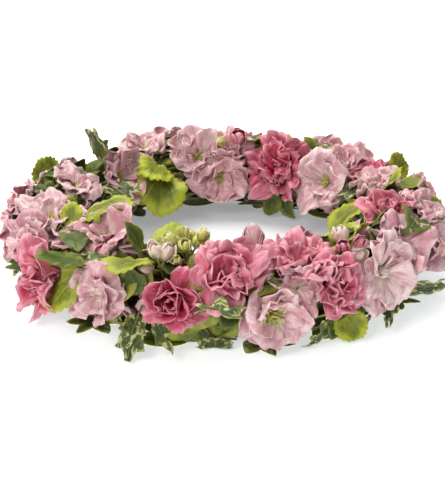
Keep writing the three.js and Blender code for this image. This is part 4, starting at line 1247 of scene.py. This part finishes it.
def leaf_tree():
    """Leaves that spread from one point. Their facts are read from the stem's points."""
    tree, given = new_tree("leafy_stem", {
        "Stem": ("Geometry", None), "Outline": ("Object", None), "Fold": ("Float", 0.22),
        "Cup": ("Float", -0.14), "Wave": ("Float", 0.05), "Material": ("Material", None)})
    outline = add_node(tree, "GeometryNodeObjectInfo", {0: given["Outline"]}, output=4)
    points = add_node(tree, "GeometryNodeMeshToPoints", {0: given["Stem"]})
    leaves = add_node(tree, "GeometryNodeInstanceOnPoints", {0: points, 2: outline})
    for fact in LEAF_FACTS:
        leaves = store(tree, leaves, fact, read(tree, fact), "INSTANCE")
    leaves = add_node(tree, "GeometryNodeRealizeInstances", {0: leaves})
    x, y, _ = parts_of(tree, add_node(tree, "GeometryNodeInputPosition"))
    leaves = store(tree, leaves, "across", x)
    leaves = store(tree, leaves, "along", y)
    across, along = read(tree, "across"), read(tree, "along")
    heading, length, width, start, end, twist, rise, pick, _ = (
        read(tree, fact) for fact in LEAF_FACTS)
    side = across * width
    out = abs(across) * 2
    place = add_node(tree, "ShaderNodeCombineXYZ", {0: across * 2.2, 1: along * 2.6, 2: pick * 19})
    noise = add_node(tree, "ShaderNodeTexNoise", {0: place, 2: 1.5, 3: 1.5}) - 0.5
    lift = width * (given["Fold"] * out * 0.5 + given["Cup"] * out * out * 0.5)
    lift = lift + length * given["Wave"] * noise * 5 * read(tree, "rim")
    position = bent_blade(tree, along, side, lift, heading, length, start, end, twist, 0, rise)
    finish_tree(tree, leaves, position, given["Material"])
    return tree


leafy_stem = leaf_tree()
print("leafy stem tree:", len(leafy_stem.nodes), "nodes")

# %% [markdown]
# ## Leaf colour
#
# A leaf is darkest along its middle and yellower at its margin, and its veins fan
# out from the stalk as pale lines, which are raised on the surface. The fan is drawn
# from the angle at which a point is seen from the stalk. A young leaf is fresher in
# colour from its rim inwards, by a number that each leaf carries, and the same number
# paints some leaves brighter where they lie in shade, as painted light. Ivy is dark
# green with cream patches near the edge, which a coarse noise cuts out.

# %% Leaf colour
def leaf_material(name, heart, body, margin, vein, fresh, patch=None, fan=27.0):
    """The paint of one kind of leaf. The veins are this many degrees apart."""
    material, tree, shader = shade(name)
    across, along, rim = paint(tree, "across"), paint(tree, "along"), paint(tree, "rim")
    pick = paint(tree, "pick")
    place = add_node(tree, "ShaderNodeCombineXYZ", {0: across * 3, 1: along * 3, 2: pick * 17})
    cloud = add_node(tree, "ShaderNodeTexNoise", {0: place, 2: 1.4, 3: 3})
    grain = add_node(tree, "ShaderNodeTexNoise", {0: place, 2: 14, 3: 2})
    turn = across.math("ARCTAN2", across, along - (LEAF_START - 0.02)) / (fan * RADIAN)
    spread = abs(turn - turn.math("ROUND", turn)) * (along - LEAF_START).most(0.02) * 2.2
    lines = 1 - spread.smooth(0.014, 0.065)
    small = abs((along * 9 + abs(across) * 7 + cloud).fraction() - 0.5)
    lines = lines.most((1 - small.smooth(0.03, 0.12)) * 0.35)
    colour = blend(tree, cloud.smooth(0.35, 0.65), heart, body)
    colour = blend(tree, (rim + (cloud - 0.5) * 0.9).smooth(0.55, 1.0), colour, margin)
    young = paint(tree, "fresh") * (0.12 + 0.88 * (rim + (cloud - 0.5) * 0.9).smooth(0.35, 1.0))
    colour = blend(tree, young, colour, fresh)
    colour = blend(tree, lines * 0.55, colour, vein)
    if patch:
        spots = add_node(tree, "ShaderNodeTexNoise", {0: place, 2: 3.2, 3: 2, 8: 0.6})
        share = (spots + rim * 0.3).smooth(0.74, 0.82)
        colour = blend(tree, share * 0.75, colour, patch)
    shade_of = 1 + pick * 0.12
    grey = add_node(tree, "ShaderNodeCombineColor", {0: shade_of, 1: shade_of, 2: shade_of})
    colour = blend(tree, 1.0, colour, grey, "MULTIPLY")
    relief = grain * 0.25 + cloud * 0.6 - lines * 0.6
    finish_paint(tree, shader, colour, relief, (0.5, 0.7 * MM), {
        "Roughness": 0.5, "Specular IOR Level": 0.35, "Subsurface Weight": 0.1,
        "Subsurface Radius": (0.5, 1.0, 0.25), "Subsurface Scale": MM})
    return material


LEAVES_PAINT = {
    "lime": leaf_material("lime_leaf", tint(88, 102, 26), tint(122, 132, 38),
                          tint(162, 162, 66), tint(172, 174, 98), tint(178, 186, 46)),
    "ivy": leaf_material("ivy_leaf", tint(48, 64, 24), tint(74, 92, 34), tint(104, 114, 48),
                         tint(150, 156, 96), tint(130, 142, 56), patch=tint(212, 206, 146),
                         fan=38.0),
    "leaf": leaf_material("green_leaf", tint(54, 70, 20), tint(80, 96, 30),
                          tint(110, 120, 42), tint(132, 142, 74), tint(140, 152, 48), fan=31.0),
}
print("leaf materials", list(LEAVES_PAINT))

# %% [markdown]
# ## Stems and stalks
#
# A stem is a thin tapering tube, swept along a line of points: a ring of points stands
# square to the line at each, and the first ring's direction is carried along, so that
# the tube does not twist. A curve with a bevel would do as well, but mesh code closes
# the ends without a further step.

# %% Stems and stalks
def draw(number, index):
    """A repeatable draw from -1 to 1. Steps of these two shares spread evenly."""
    return 2 * ((number * 0.5698 + index * 0.7549 + 0.5) % 1) - 1


def tube(points, radii, material, sides=8, name="stem"):
    """A closed tube along a line of points, with a radius at each."""
    line = [Vector(p) for p in points]
    rings, faces = [], []
    for index, point in enumerate(line):
        way = (line[min(index + 1, len(line) - 1)] - line[max(index - 1, 0)]).normalized()
        first = way.orthogonal() if index == 0 else first - way * first.dot(way)
        first = first.normalized()
        second = way.cross(first)
        rings += [point + radii[index] * (first * math.cos(t) + second * math.sin(t))
                  for t in (math.tau * k / sides for k in range(sides))]
    for ring in range(len(line) - 1):
        for side in range(sides):
            after = (side + 1) % sides
            low = ring * sides
            faces.append((low + side, low + after, low + sides + after, low + sides + side))
    faces.append(tuple(reversed(range(sides))))
    faces.append(tuple(range(len(rings) - sides, len(rings))))
    mesh = bpy.data.meshes.new(name)
    mesh.from_pydata([tuple(p) for p in rings], [], faces)
    mesh.shade_smooth()
    mesh.materials.append(material)
    return mesh


print("ready to sweep stems")

# %% [markdown]
# ## The leaves of a stem
#
# The facts of each leaf go onto a bare point, and the tree grows the leaves from
# them, once for each kind of outline. They are then laid in place. The flattest
# leaves lie on the table under the ring, where its weight presses them: these keep
# their outline, and only their tips rise a little.

# %% The leaves of a stem
LEAF_THICKNESS = 0.45 * MM
LEAF_SPACING = 2 * MM           # between the leaves' feet, down the stem
LEAF_TWIST = 8                  # degrees
KIND_PAINT = {LIME_LEAF: "lime", IVY_LEAF: "ivy", LONG_IVY_LEAF: "ivy", POINTED_LEAF: "leaf"}
LEAF_WAVE = 0.05                # of its length
# a flat leaf rises from its stalk to its tip, by the square of the distance in metres
FLAT_HEIGHT, FLAT_RISE = 0.7 * MM, 0.8


def leaf_points(leaves, number, freshness):
    """Bare points, one for each leaf, that carry what the tree reads."""
    facts = []
    for index, (_, heading, length, width, start, end) in enumerate(leaves):
        twist = LEAF_TWIST * draw(6, number + index)
        facts.append((heading, length * MM, width * MM, start, end, twist,
                      -LEAF_SPACING * index, draw(3, number * 5 + index), freshness[index]))
    mesh = bpy.data.meshes.new("leaf_points")
    mesh.from_pydata([(0, 0, 0)] * len(facts), [], [])
    for column, fact in enumerate(LEAF_FACTS):
        attribute = mesh.attributes.new(fact, "FLOAT", "POINT")
        attribute.data.foreach_set("value", [row[column] for row in facts])
    return mesh


def leaf_meshes(leaves, number, place, fresh, flat=False):
    """The leaves of a stem, one mesh for each kind of outline. Fresh goes by the leaf."""
    meshes = []
    for kind in dict.fromkeys(leaf[0] for leaf in leaves):
        chosen = [leaf for leaf in leaves if leaf[0] == kind]
        freshness = [fresh.get(index, 0.0) for index, leaf in enumerate(leaves)
                     if leaf[0] == kind]
        # flat pointed leaves take the lighter lime paint: painted light on leaves that the ring
        # shades
        painted_lighter = flat and kind == POINTED_LEAF
        material = LEAVES_PAINT["lime" if painted_lighter else KIND_PAINT[kind]]
        mesh = grown(leafy_stem, {"Outline": outlines[kind], "Material": material,
                                  "Wave": 0 if flat else LEAF_WAVE},
                     leaf_points(chosen, number, freshness))
        if flat:
            local = points_of(mesh)
            points = placed(local, place)
            points[:, 2] = FLAT_HEIGHT + FLAT_RISE * local[:, 1] ** 2
            set_points(mesh, points)
        else:
            lay(mesh, place)
        meshes.append(mesh)
    return meshes


print("ready to grow leaves")

# %% [markdown]
# ## Leafy stems
#
# Each stem comes off the hoop, and its leaves spread from the top of it. Some leaves
# are larger or more slender than the CAD model's plain blades, and a few small ones
# fill the gaps between them, so two tables change or add to a stem's list. A third
# says which leaves are young and how yellow they are, and paints some of them
# brighter where they lie in shade.

# %% Leafy stems
STEM_GIRTH = (1.1 * MM, 0.8 * MM)
# the young, yellower leaves of a stem, some painted brighter for the shade they lie in:
# the leaf's number and how fresh it is
FRESH_AND_LIT = {
    "lime_sprig_left": {0: 0.5},
    "lime_sprig_left_top": {0: 0.6, 2: 1.0},
    "lime_sprig_rear_left": {0: 1.0, 1: 1.0},
    "lime_sprig_right_inner": {0: 0.7, 1: 0.7},
    "lime_sprig_front_right": {0: 0.9, 1: 0.6},
    "lime_sprig_front_low": {0: 0.8},
    "leaf_sprig_front": {0: 0.7, 1: 1.0},
    "leaf_sprig_rear_right": {0: 1.0},
    "leaf_sprig_right_rear": {0: 0.8},
    "ivy_sprig_front_right": {0: 1.0},
}
# leaves that are larger or more slender than the CAD model's, and small ones between
LONGER = {
    "lime_sprig_rear_left": {0: [LIME_LEAF, 64, 58, 40, 36, 102]},
    "lime_sprig_left": {0: [LIME_LEAF, 224, 45, 47, 75, 112]},
    "ivy_sprig_rear_left": {0: [LONG_IVY_LEAF, 335, 60, 36, 12, 42]},
    "ivy_sprig_front_left": {0: [LONG_IVY_LEAF, 270, 42, 30, 20, 66],
                             1: [LONG_IVY_LEAF, 325, 39, 24, 50, 58]},
}
SMALL_LEAVES = {"ivy_sprig_front_left": [[LONG_IVY_LEAF, 268, 34, 26, 12, 48]]}

number = 0
for name, colour, cell, leaves in sprig_parts:
    number += 1
    leaves = [LONGER.get(name, {}).get(index, leaf) for index, leaf in enumerate(leaves)]
    leaves += SMALL_LEAVES.get(name, [])
    place = cell["place"]
    stem = place["foot"] - station(place["around"], place["roll"])[0]
    foot = place["foot"] - stem * (1 - HOOP_GIRTH / np.linalg.norm(stem))
    meshes = leaf_meshes(leaves, number, place, FRESH_AND_LIT.get(name, {}))
    meshes.append(tube([foot, place["foot"] + place["axis"] * MM], STEM_GIRTH,
                       LEAVES_PAINT[colour]))
    piece_from(name + "_leaves", meshes, [name], LEAF_THICKNESS)
print(number, "stems that the CAD model has")

# %% [markdown]
# ## Short stems between the others
#
# Four short stems are bound in besides, two at the outside and two at the inner edge,
# where single leaves look out between the flowers. They start on the hoop as the
# others do, but stand for no node of the CAD model, because so small a leaf adds
# nothing to its outline.

# %% Short stems between the others
# around, roll, height, how fresh, then the leaves
SHORT_STEMS = [
    ("outer_left_leaves", "lime", 156, 26, 13, 0.5, [LIME_LEAF, 50, 29, 27, 14, 50]),
    ("outer_right_leaves", "lime", 22, 36, 15, 0.7, [LIME_LEAF, 100, 27, 25, 20, 60]),
    ("inner_left_leaves", "ivy", 154, 147, 27, 0.2, [LONG_IVY_LEAF, 260, 39, 27, 64, 92]),
    ("inner_rear_leaves", "leaf", 63, 200, 20, 0.3,
     [POINTED_LEAF, 62, 26, 22, 26, 80], [POINTED_LEAF, 128, 28, 22, 26, 80]),
]
for name, colour, around, roll, height, fresh, *leaves in SHORT_STEMS:
    number += 1
    place = seat(around, roll, height * MM)
    middle, _, outward, _ = station(around, roll)
    foot = middle + outward * HOOP_GIRTH
    meshes = leaf_meshes(leaves, number, place, dict.fromkeys(range(len(leaves)), fresh))
    meshes.append(tube([foot, place["foot"] + place["axis"] * MM], STEM_GIRTH,
                       LEAVES_PAINT[colour]))
    piece_from(name, meshes, [], LEAF_THICKNESS)
print(len(SHORT_STEMS), "short stems")

# %% [markdown]
# ## The backing
#
# Under the ring, seven stems carry the leaves that it rests on. Two leaves of each lie
# flat on the table, one to either side, and some stems have a third that reaches up
# round the outside. Their stalk comes straight down from the hoop.

# %% The backing
FLAT = [(IVY_LEAF, 6, 50, 44, 90, 90), (POINTED_LEAF, 174, 48, 34, 90, 90)]
BACKING_GIRTH = (1.1 * MM, 1 * MM, 0.8 * MM)
for name, colour, cell, leaves in backing_parts:
    number += 1
    place = cell["place"]
    low = dict(place, foot=place["foot"] * np.array((1, 1, 0)))
    foot = station(place["around"], 270)[0] - np.array((0, 0, HOOP_GIRTH))
    # the flat leaves are painted fully fresh: painted light on leaves that lie in the ring's shade
    meshes = leaf_meshes(FLAT, number, low, {0: 1.0, 1: 1.0}, flat=True)
    if leaves:
        meshes += leaf_meshes(leaves, number, place, {})
    on_table = low["foot"] + np.array((0, 0, BACKING_GIRTH[-1]))
    meshes.append(tube([foot, place["foot"], on_table], BACKING_GIRTH, LEAVES_PAINT[colour]))
    piece_from(name + "_leaves", meshes, [name], LEAF_THICKNESS)
print(len(backing_parts), "backing stems,", number, "leafy stems in all")

# %% [markdown]
# ## The bed of foliage
#
# Between the flowers the hoop is covered with leaves that were bound in first. They
# repeat all round, so a tree sets them out: it sweeps a circle round the hoop to
# make a tube, scatters points over it that keep a distance from each other, turns
# one bent leaf to face out at each point, and waves them all so that none is alike.
# Placing hundreds of leaves by hand would take a day and look no better.

# %% The tree of the bed
def bed_tree(name, bent):
    """Scatters a leaf that it bends, or a floret as it is, over a tube round the hoop."""
    tree, given = new_tree(name, {
        "Radius": ("Float", RING_RADIUS), "Girth": ("Float", 9 * MM), "Spacing": ("Float", 9 * MM),
        "Share": ("Float", 0.5), "Highest": ("Float", 1.1), "Seed": ("Int", 0),
        "Outline": ("Object", None), "Length": ("Float", 36 * MM), "Width": ("Float", 32 * MM),
        "Start": ("Float", 48), "End": ("Float", 100), "Fold": ("Float", 0.2),
        "Wave": ("Float", 5 * MM), "Material": ("Material", None)})
    ring = add_node(tree, "GeometryNodeCurvePrimitiveCircle", {
        "Radius": given["Radius"], "Resolution": 64})
    section = add_node(tree, "GeometryNodeCurvePrimitiveCircle", {
        "Radius": given["Girth"], "Resolution": 16})
    hoop = add_node(tree, "GeometryNodeCurveToMesh", {0: ring, 1: section})
    scatter = tree.nodes.new("GeometryNodeDistributePointsOnFaces")
    scatter.distribute_method = "POISSON"
    _, _, facing_up = parts_of(tree, add_node(tree, "GeometryNodeInputNormal"))
    for key, value in {"Mesh": hoop, "Distance Min": given["Spacing"], "Density Max": 40000.0,
                       "Selection": facing_up.math("LESS_THAN", facing_up, given["Highest"]),
                       "Seed": given["Seed"]}.items():
        plug(tree, value, scatter.inputs[key])
    points, normal = Field(tree, scatter.outputs["Points"]), Field(tree, scatter.outputs["Normal"])
    number = add_node(tree, "GeometryNodeInputIndex")

    def pick(low, high, index):
        return add_node(tree, "FunctionNodeRandomValue", {
            2: low, 3: high, 7: number, 8: given["Seed"] * 17 + index}, output=1, data_type="FLOAT")

    leaf = add_node(tree, "GeometryNodeObjectInfo", {0: given["Outline"]}, output=4)
    if bent:
        x, y, _ = parts_of(tree, add_node(tree, "GeometryNodeInputPosition"))
        leaf = store(tree, leaf, "across", x)
        leaf = store(tree, leaf, "along", y)
        across, along = read(tree, "across"), read(tree, "along")
        lift = given["Width"] * given["Fold"] * abs(across)
        curve = bent_blade(tree, along, across * given["Width"], lift, 0.0 * along, given["Length"],
                           given["Start"], given["End"], 0.0 * along, 0, 0)
        leaf = add_node(tree, "GeometryNodeSetPosition", {0: leaf, 2: curve})
    facing = add_node(tree, "FunctionNodeAlignRotationToVector", {"Vector": normal}, axis="Z")
    spin = add_node(tree, "ShaderNodeCombineXYZ", {2: pick(0, 6.28, 1)})
    turned = add_node(tree, "FunctionNodeRotateRotation", {0: facing, 1: spin},
                      rotation_space="LOCAL")
    leaves = add_node(tree, "GeometryNodeInstanceOnPoints", {
        0: points, 1: pick(0, 1, 2).math("LESS_THAN", pick(0, 1, 2), given["Share"]),
        2: leaf, 5: turned, 6: pick(0.8, 1.15, 3)})
    if bent:
        leaves = store(tree, leaves, "pick", pick(-1, 1, 4), "INSTANCE")
    leaves = add_node(tree, "GeometryNodeRealizeInstances", {0: leaves})
    here = add_node(tree, "GeometryNodeInputPosition")
    noise = add_node(tree, "ShaderNodeTexNoise", {0: here, 2: 55.0, 3: 1.0}, output=1)
    x, y, z = parts_of(tree, here)
    a, b, c = parts_of(tree, noise)
    wave = given["Wave"] * 2
    moved = add_node(tree, "ShaderNodeCombineXYZ", {
        0: x + (a - 0.5) * wave, 1: y + (b - 0.5) * wave, 2: z + (c - 0.5) * wave})
    finish_tree(tree, leaves, moved, given["Material"])
    return tree


foliage_bed = bed_tree("foliage_bed", True)
print("bed tree:", len(foliage_bed.nodes), "nodes")

# %% [markdown]
# ## The beds
#
# Several beds lie in each other: short leaves everywhere, a closer bed on the lower
# half only, which hangs to the table, and one for each kind of large leaf. The points
# are then drawn in under the flowers' faces, pressed down under the blooms and
# flattened on the table. Each bed is one piece, and no node of the CAD model, because
# solids of so many small leaves would be far too heavy.

# %% The beds
BED_GIRTH = 0.86            # of the way out to the flowers' faces
# outline, paint, seed, share of the places, how high on the tube (-1 to 1), length,
# width, spacing, bend from and to
BED = {
    "short_bed": (POINTED_LEAF, "leaf", 5, 1.0, 1.1, 26, 24, 8, 34, 90),
    "low_bed": (POINTED_LEAF, "leaf", 41, 1.0, -0.1, 27, 22, 7, 8, 56),
    "lime_bed": (LIME_LEAF, "lime", 3, 0.36, 1.1, 32, 34, 13, 48, 100),
    "ivy_bed": (IVY_LEAF, "ivy", 11, 0.34, 1.1, 33, 36, 13, 48, 100),
    "green_bed": (POINTED_LEAF, "leaf", 23, 0.4, 1.1, 33, 30, 13, 48, 100),
}
for name, (kind, colour, bed_seed, share, highest, *sizes) in BED.items():
    length, width, spacing, start, end = sizes
    mesh = grown(foliage_bed, {"Outline": plain_outlines[kind], "Seed": bed_seed, "Share": share,
                               "Highest": highest, "Length": length * MM, "Width": width * MM,
                               "Spacing": spacing * MM, "Start": start, "End": end,
                               "Material": LEAVES_PAINT[colour]})
    points = within_girth(points_of(mesh) + HOOP_MIDDLE, BED_GIRTH)
    set_points(mesh, off_the_floor(clear_of_blooms(points)))
    piece_from(name, [mesh], [], LEAF_THICKNESS)
    print(name, len(mesh.polygons), "faces")

# %% [markdown]
# ## Small florets in the gaps
#
# A stem of stock opens many small florets, and those between the large blooms close
# the last gaps. One floret of eight petals is grown from the rosette tree, and the
# scattering tree repeats it round the hoop without bending it, a little below the
# faces of the large blooms.

# %% Small florets
SMALL = dict(FORM["open"], Petals=8, Columns=6, Rows=6, Reach=13 * MM, Seed=77,
             Material=PETALS["stock"])
floret = bpy.data.objects.new("small_floret", grown(rosette, SMALL))
floret_bed = bed_tree("floret_bed", False)
FLORET_GIRTH = 0.9          # of the way out to the flowers' faces
# seed, share of the places, height over the hoop's middle, spacing
FLORETS = {"stock_florets": (31, 0.5, 15, 24), "stock_florets_low": (47, 0.45, 12, 24)}
for name, (bed_seed, share, height, spacing) in FLORETS.items():
    mesh = grown(floret_bed, {"Outline": floret, "Seed": bed_seed, "Share": share,
                              "Girth": height * MM, "Spacing": spacing * MM, "Wave": 7 * MM,
                              "Material": PETALS["stock"]})
    points = within_girth(points_of(mesh) + HOOP_MIDDLE, FLORET_GIRTH)
    set_points(mesh, off_the_floor(clear_of_blooms(points)))
    piece_from(name, [mesh], [], PETAL_THICKNESS)
    print(name, len(mesh.polygons), "faces")

# %% [markdown]
# ## Bud colour
#
# A bud's green sepals split near its middle, and the petals between them are yellow
# or pale pink, palest at the tip. The paint reads how far along the bud a point is,
# and noise and the seams make the border between green and petal uneven.

# %% Bud colour
def bud_material(name, sepal, petal, tip):
    """The paint of a bud, from its sepals to its tip."""
    material, tree, shader = shade(name)
    along, across = paint(tree, "along"), paint(tree, "across")
    place = add_node(tree, "ShaderNodeCombineXYZ", {0: across * 2, 1: along})
    cloud = add_node(tree, "ShaderNodeTexNoise", {0: place, 2: 2.5, 3: 3})
    split = along + (cloud - 0.5) * 0.3 + abs((across * 5).fraction() - 0.5) * 0.35
    colour = blend(tree, split.smooth(0.42, 0.62), sepal, petal)
    colour = blend(tree, along.smooth(0.75, 1.0), colour, tip)
    finish_paint(tree, shader, colour, cloud, (0.3, 0.5 * MM), {
        "Roughness": 0.5, "Subsurface Weight": 0.2, "Subsurface Scale": MM})
    return material


BUD_PAINT = {
    "greenBud": bud_material("green_bud", tint(156, 162, 58), tint(220, 214, 104),
                             tint(236, 230, 146)),
    "pinkBud": bud_material("pink_bud", tint(138, 152, 54), tint(222, 140, 156),
                            tint(236, 184, 192)),
    "paleBud": bud_material("pale_bud", tint(176, 170, 110), tint(238, 218, 206),
                            tint(246, 234, 222)),
}
print("bud paints", list(BUD_PAINT))

# %% [markdown]
# ## The shape of a bud
#
# A bud is a spindle with five seams that turn a little, closed at both ends. Mesh code
# turns a profile round the bud's axis, and stores how far along and round each point
# is. Over it will lie a few wrapped petals with their tips turned in, which break its
# smooth outline: they come from the rosette tree, with the end angles below zero.

# %% The shape of a bud
BUD_WRAP = {"Petals": 6, "Columns": 5, "Rows": 6, "Loose": 6, "Tilt": 6,
            "Inner Length": 0.94, "Outer Length": 1.02, "Inner Width": 0.5, "Outer Width": 0.64,
            "Inner Start": 52, "Outer Start": 62, "Inner End": -48, "Outer End": -34,
            "Claw": 0.5, "Round": 0.3, "Inner Cup": 0.4, "Outer Cup": 0.3, "Ruffle": 0.06,
            "Crease": 0.02, "Uneven": 0.16}
BUD_PROFILE = ((0, 0.3), (0.08, 0.62), (0.22, 0.9), (0.42, 1.0), (0.62, 0.93), (0.78, 0.74),
               (0.9, 0.48), (0.98, 0.2))
BUD_SIDES = 20
SEAM_DEPTH = 0.1
ASKEW = (0.3, 0.5, 0.81)     # no bud points this way, so it gives a side direction


def bud_mesh(base, way, length, radius, material, turn):
    """A closed bud from its base along its way."""
    first = unit(np.cross(way, ASKEW))
    second = np.cross(way, first)
    points, faces, places = [], [], []
    for share, wide in BUD_PROFILE:
        for side in range(BUD_SIDES):
            angle = math.tau * side / BUD_SIDES
            seam = 1 - SEAM_DEPTH * abs(math.cos(2.5 * (angle + turn + 0.8 * share)))
            out = first * math.cos(angle) + second * math.sin(angle)
            points.append(base + way * share * length + out * radius * wide * seam)
            places.append((side / BUD_SIDES, share))
    rings = len(BUD_PROFILE)
    for ring in range(rings - 1):
        for side in range(BUD_SIDES):
            after = (side + 1) % BUD_SIDES
            low = ring * BUD_SIDES
            high = low + BUD_SIDES
            faces.append((low + side, low + after, high + after, high + side))
    for centre, ring, share in ((base, 0, 0), (base + way * length, rings - 1, 1)):
        points.append(centre)
        places.append((0, share))
        low = ring * BUD_SIDES
        for side in range(BUD_SIDES):
            after = (side + 1) % BUD_SIDES
            pair = (low + after, low + side) if ring == 0 else (low + side, low + after)
            faces.append((len(points) - 1, *pair))
    mesh = bpy.data.meshes.new("bud")
    mesh.from_pydata([tuple(p) for p in points], [], faces)
    for column, label in enumerate(("across", "along")):
        mesh.attributes.new(label, "FLOAT", "POINT").data.foreach_set(
            "value", [row[column] for row in places])
    mesh.shade_smooth()
    mesh.materials.append(material)
    return mesh


print(len(BUD_PROFILE), "rings of", BUD_SIDES, "points to a bud")

# %% [markdown]
# ## Buds
#
# Small buds stand in clusters, each on a thin stalk from one fork over the hoop. The
# CAD model has the two or three largest of a cluster, and the small ones between them
# are added here. A row is a bud's heading, how far out and up it sits, its length and
# radius, and a paint if it isn't its cluster's. Each cluster is two pieces: the buds
# and stalks are solid, and the wrapped petals are blades that get a thickness.

# %% Buds
WRAP_PAINT = {"greenBud": PETALS["eye"], "paleBud": PETALS["button"],
              "pinkBud": PETALS["carnation"]}
MORE_BUDS = {
    "bud_spray_front_green": [
        [330, 8, 3, 6, 2.6], [95, 9, 8, 6, 2.7], [205, 8, 10, 6.5, 2.9],
        [15, 7, 12, 6, 2.6], [250, 9, 3, 5, 2.2], [150, 3, 13, 5, 2.3]],
    "bud_spray_front_pale": [[120, 3, 9, 8, 2.8]],
    "bud_spray_right_pink": [
        [200, 5, 8, 8, 2.6, "pinkBud"], [20, 6, 2, 5, 2.2, "greenBud"],
        [300, 4, 11, 7, 2.4, "pinkBud"], [110, 7, 6, 6, 2.2, "greenBud"]],
    "bud_front_pale": [],
    "bud_rear": [[100, 8, 9, 14, 4.8, "pinkBud"], [45, 11, 6, 12, 4.2]],
}
LONGER_BUD, WIDER_BUD = 1.2, 1.15     # than the CAD model's, which has no petals on it
INSIDE_WRAP = 0.92
BUD_STEM, BUD_STALK = (1 * MM, 0.8 * MM), (0.55 * MM, 0.7 * MM)
STALK_SUNK = 0.5 * MM                 # at either end, into the stem and into the bud

for number, (name, colour, cell, buds) in enumerate(bud_parts):
    place = cell["place"]
    fork = place["foot"]
    root = station(place["around"], place["roll"])[0]
    root = root + unit(fork - root) * HOOP_GIRTH
    meshes = [tube([root, fork], BUD_STEM, LEAVES_PAINT["leaf"])]
    wraps = []
    for index, (heading, spread, height, length, radius, *own) in enumerate(buds + MORE_BUDS[name]):
        length, radius = length * LONGER_BUD, radius * WIDER_BUD
        h = math.radians(heading)
        out = place["first"] * math.cos(h) + place["second"] * math.sin(h)
        base = fork + (place["axis"] * height + out * spread) * MM
        way = unit(base - fork)
        meshes.append(tube([fork - way * STALK_SUNK, base + way * STALK_SUNK], BUD_STALK,
                           LEAVES_PAINT["lime"], 6))
        paint_name = own[0] if own else colour
        petal_paint = PETALS["stock"] if name == "bud_front_pale" else WRAP_PAINT[paint_name]
        meshes.append(bud_mesh(base, way, length * MM, radius * INSIDE_WRAP * MM,
                               BUD_PAINT[paint_name], index))
        wrap = grown(rosette, dict(BUD_WRAP, Reach=(0.62 * length + 1.6 * radius) * MM, Tone=-0.3,
                                   Seed=300 + number * 20 + index, Material=petal_paint))
        first = unit(np.cross(way, ASKEW))
        own_place = {"foot": base, "first": first, "second": np.cross(way, first), "axis": way}
        set_points(wrap, placed(points_of(wrap), own_place))
        wraps.append(wrap)
    slot = "green_bud" if colour == "greenBud" else "pale_bud"
    piece_from(name + "_buds", meshes, [name], 0)
    piece_from(name + "_petals", wraps, [], PETAL_THICKNESS)
print(len(bud_parts), "bud sprays")

# %% [markdown]
# ## Tape and wire
#
# The hoop and its binding wire keep their CAD shape, because they are plain solids
# that the flowers all but hide. They need only a finish: green floral tape over the
# stems and a dull lacquer on the wire, each painted darker where its relief is low,
# as painted shade in the folds. Both patterns are noise on Object coordinates, which
# stay with the part wherever it is put.

# %% Tape and wire
def plain_material(name, dark, light, size, roughness):
    """Two colours in cloudy noise of a size, the darker one a painted shade in its low parts, with
    finer grain in the relief.
    """
    material, tree, shader = shade(name)
    here = add_node(tree, "ShaderNodeTexCoord", output=3)
    wrap = add_node(tree, "ShaderNodeTexNoise", {0: here, 2: size, 3: 4})
    fine = add_node(tree, "ShaderNodeTexNoise", {0: here, 2: size * 7, 3: 2})
    # painted shade: the darker colour lies where the relief is low
    colour = blend(tree, wrap.smooth(0.35, 0.65), dark, light)
    finish_paint(tree, shader, colour, wrap + fine * 0.4, (0.6, 0.8 * MM),
                 {"Roughness": roughness})
    return material


FINISHES = {
    "stem_ring": plain_material("stem_tape", tint(58, 74, 34), tint(104, 126, 58), 110, 0.7),
    "binding_wire": plain_material("green_wire", tint(60, 78, 48), tint(92, 112, 70), 300, 0.4),
}
for node, material in FINISHES.items():
    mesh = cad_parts[node].data
    mesh.materials.clear()
    mesh.materials.append(material)
print("finished", list(FINISHES))

# %% [markdown]
# ## Measure and finish
#
# The last cell measures the finished model, keeps its box, and prints its size in
# millimetres.

# %% Finish
new_low, new_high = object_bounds()
size_mm = [round((high - low) / MM, 1) for low, high in zip(new_low, new_high)]
print("finished size in mm", size_mm)
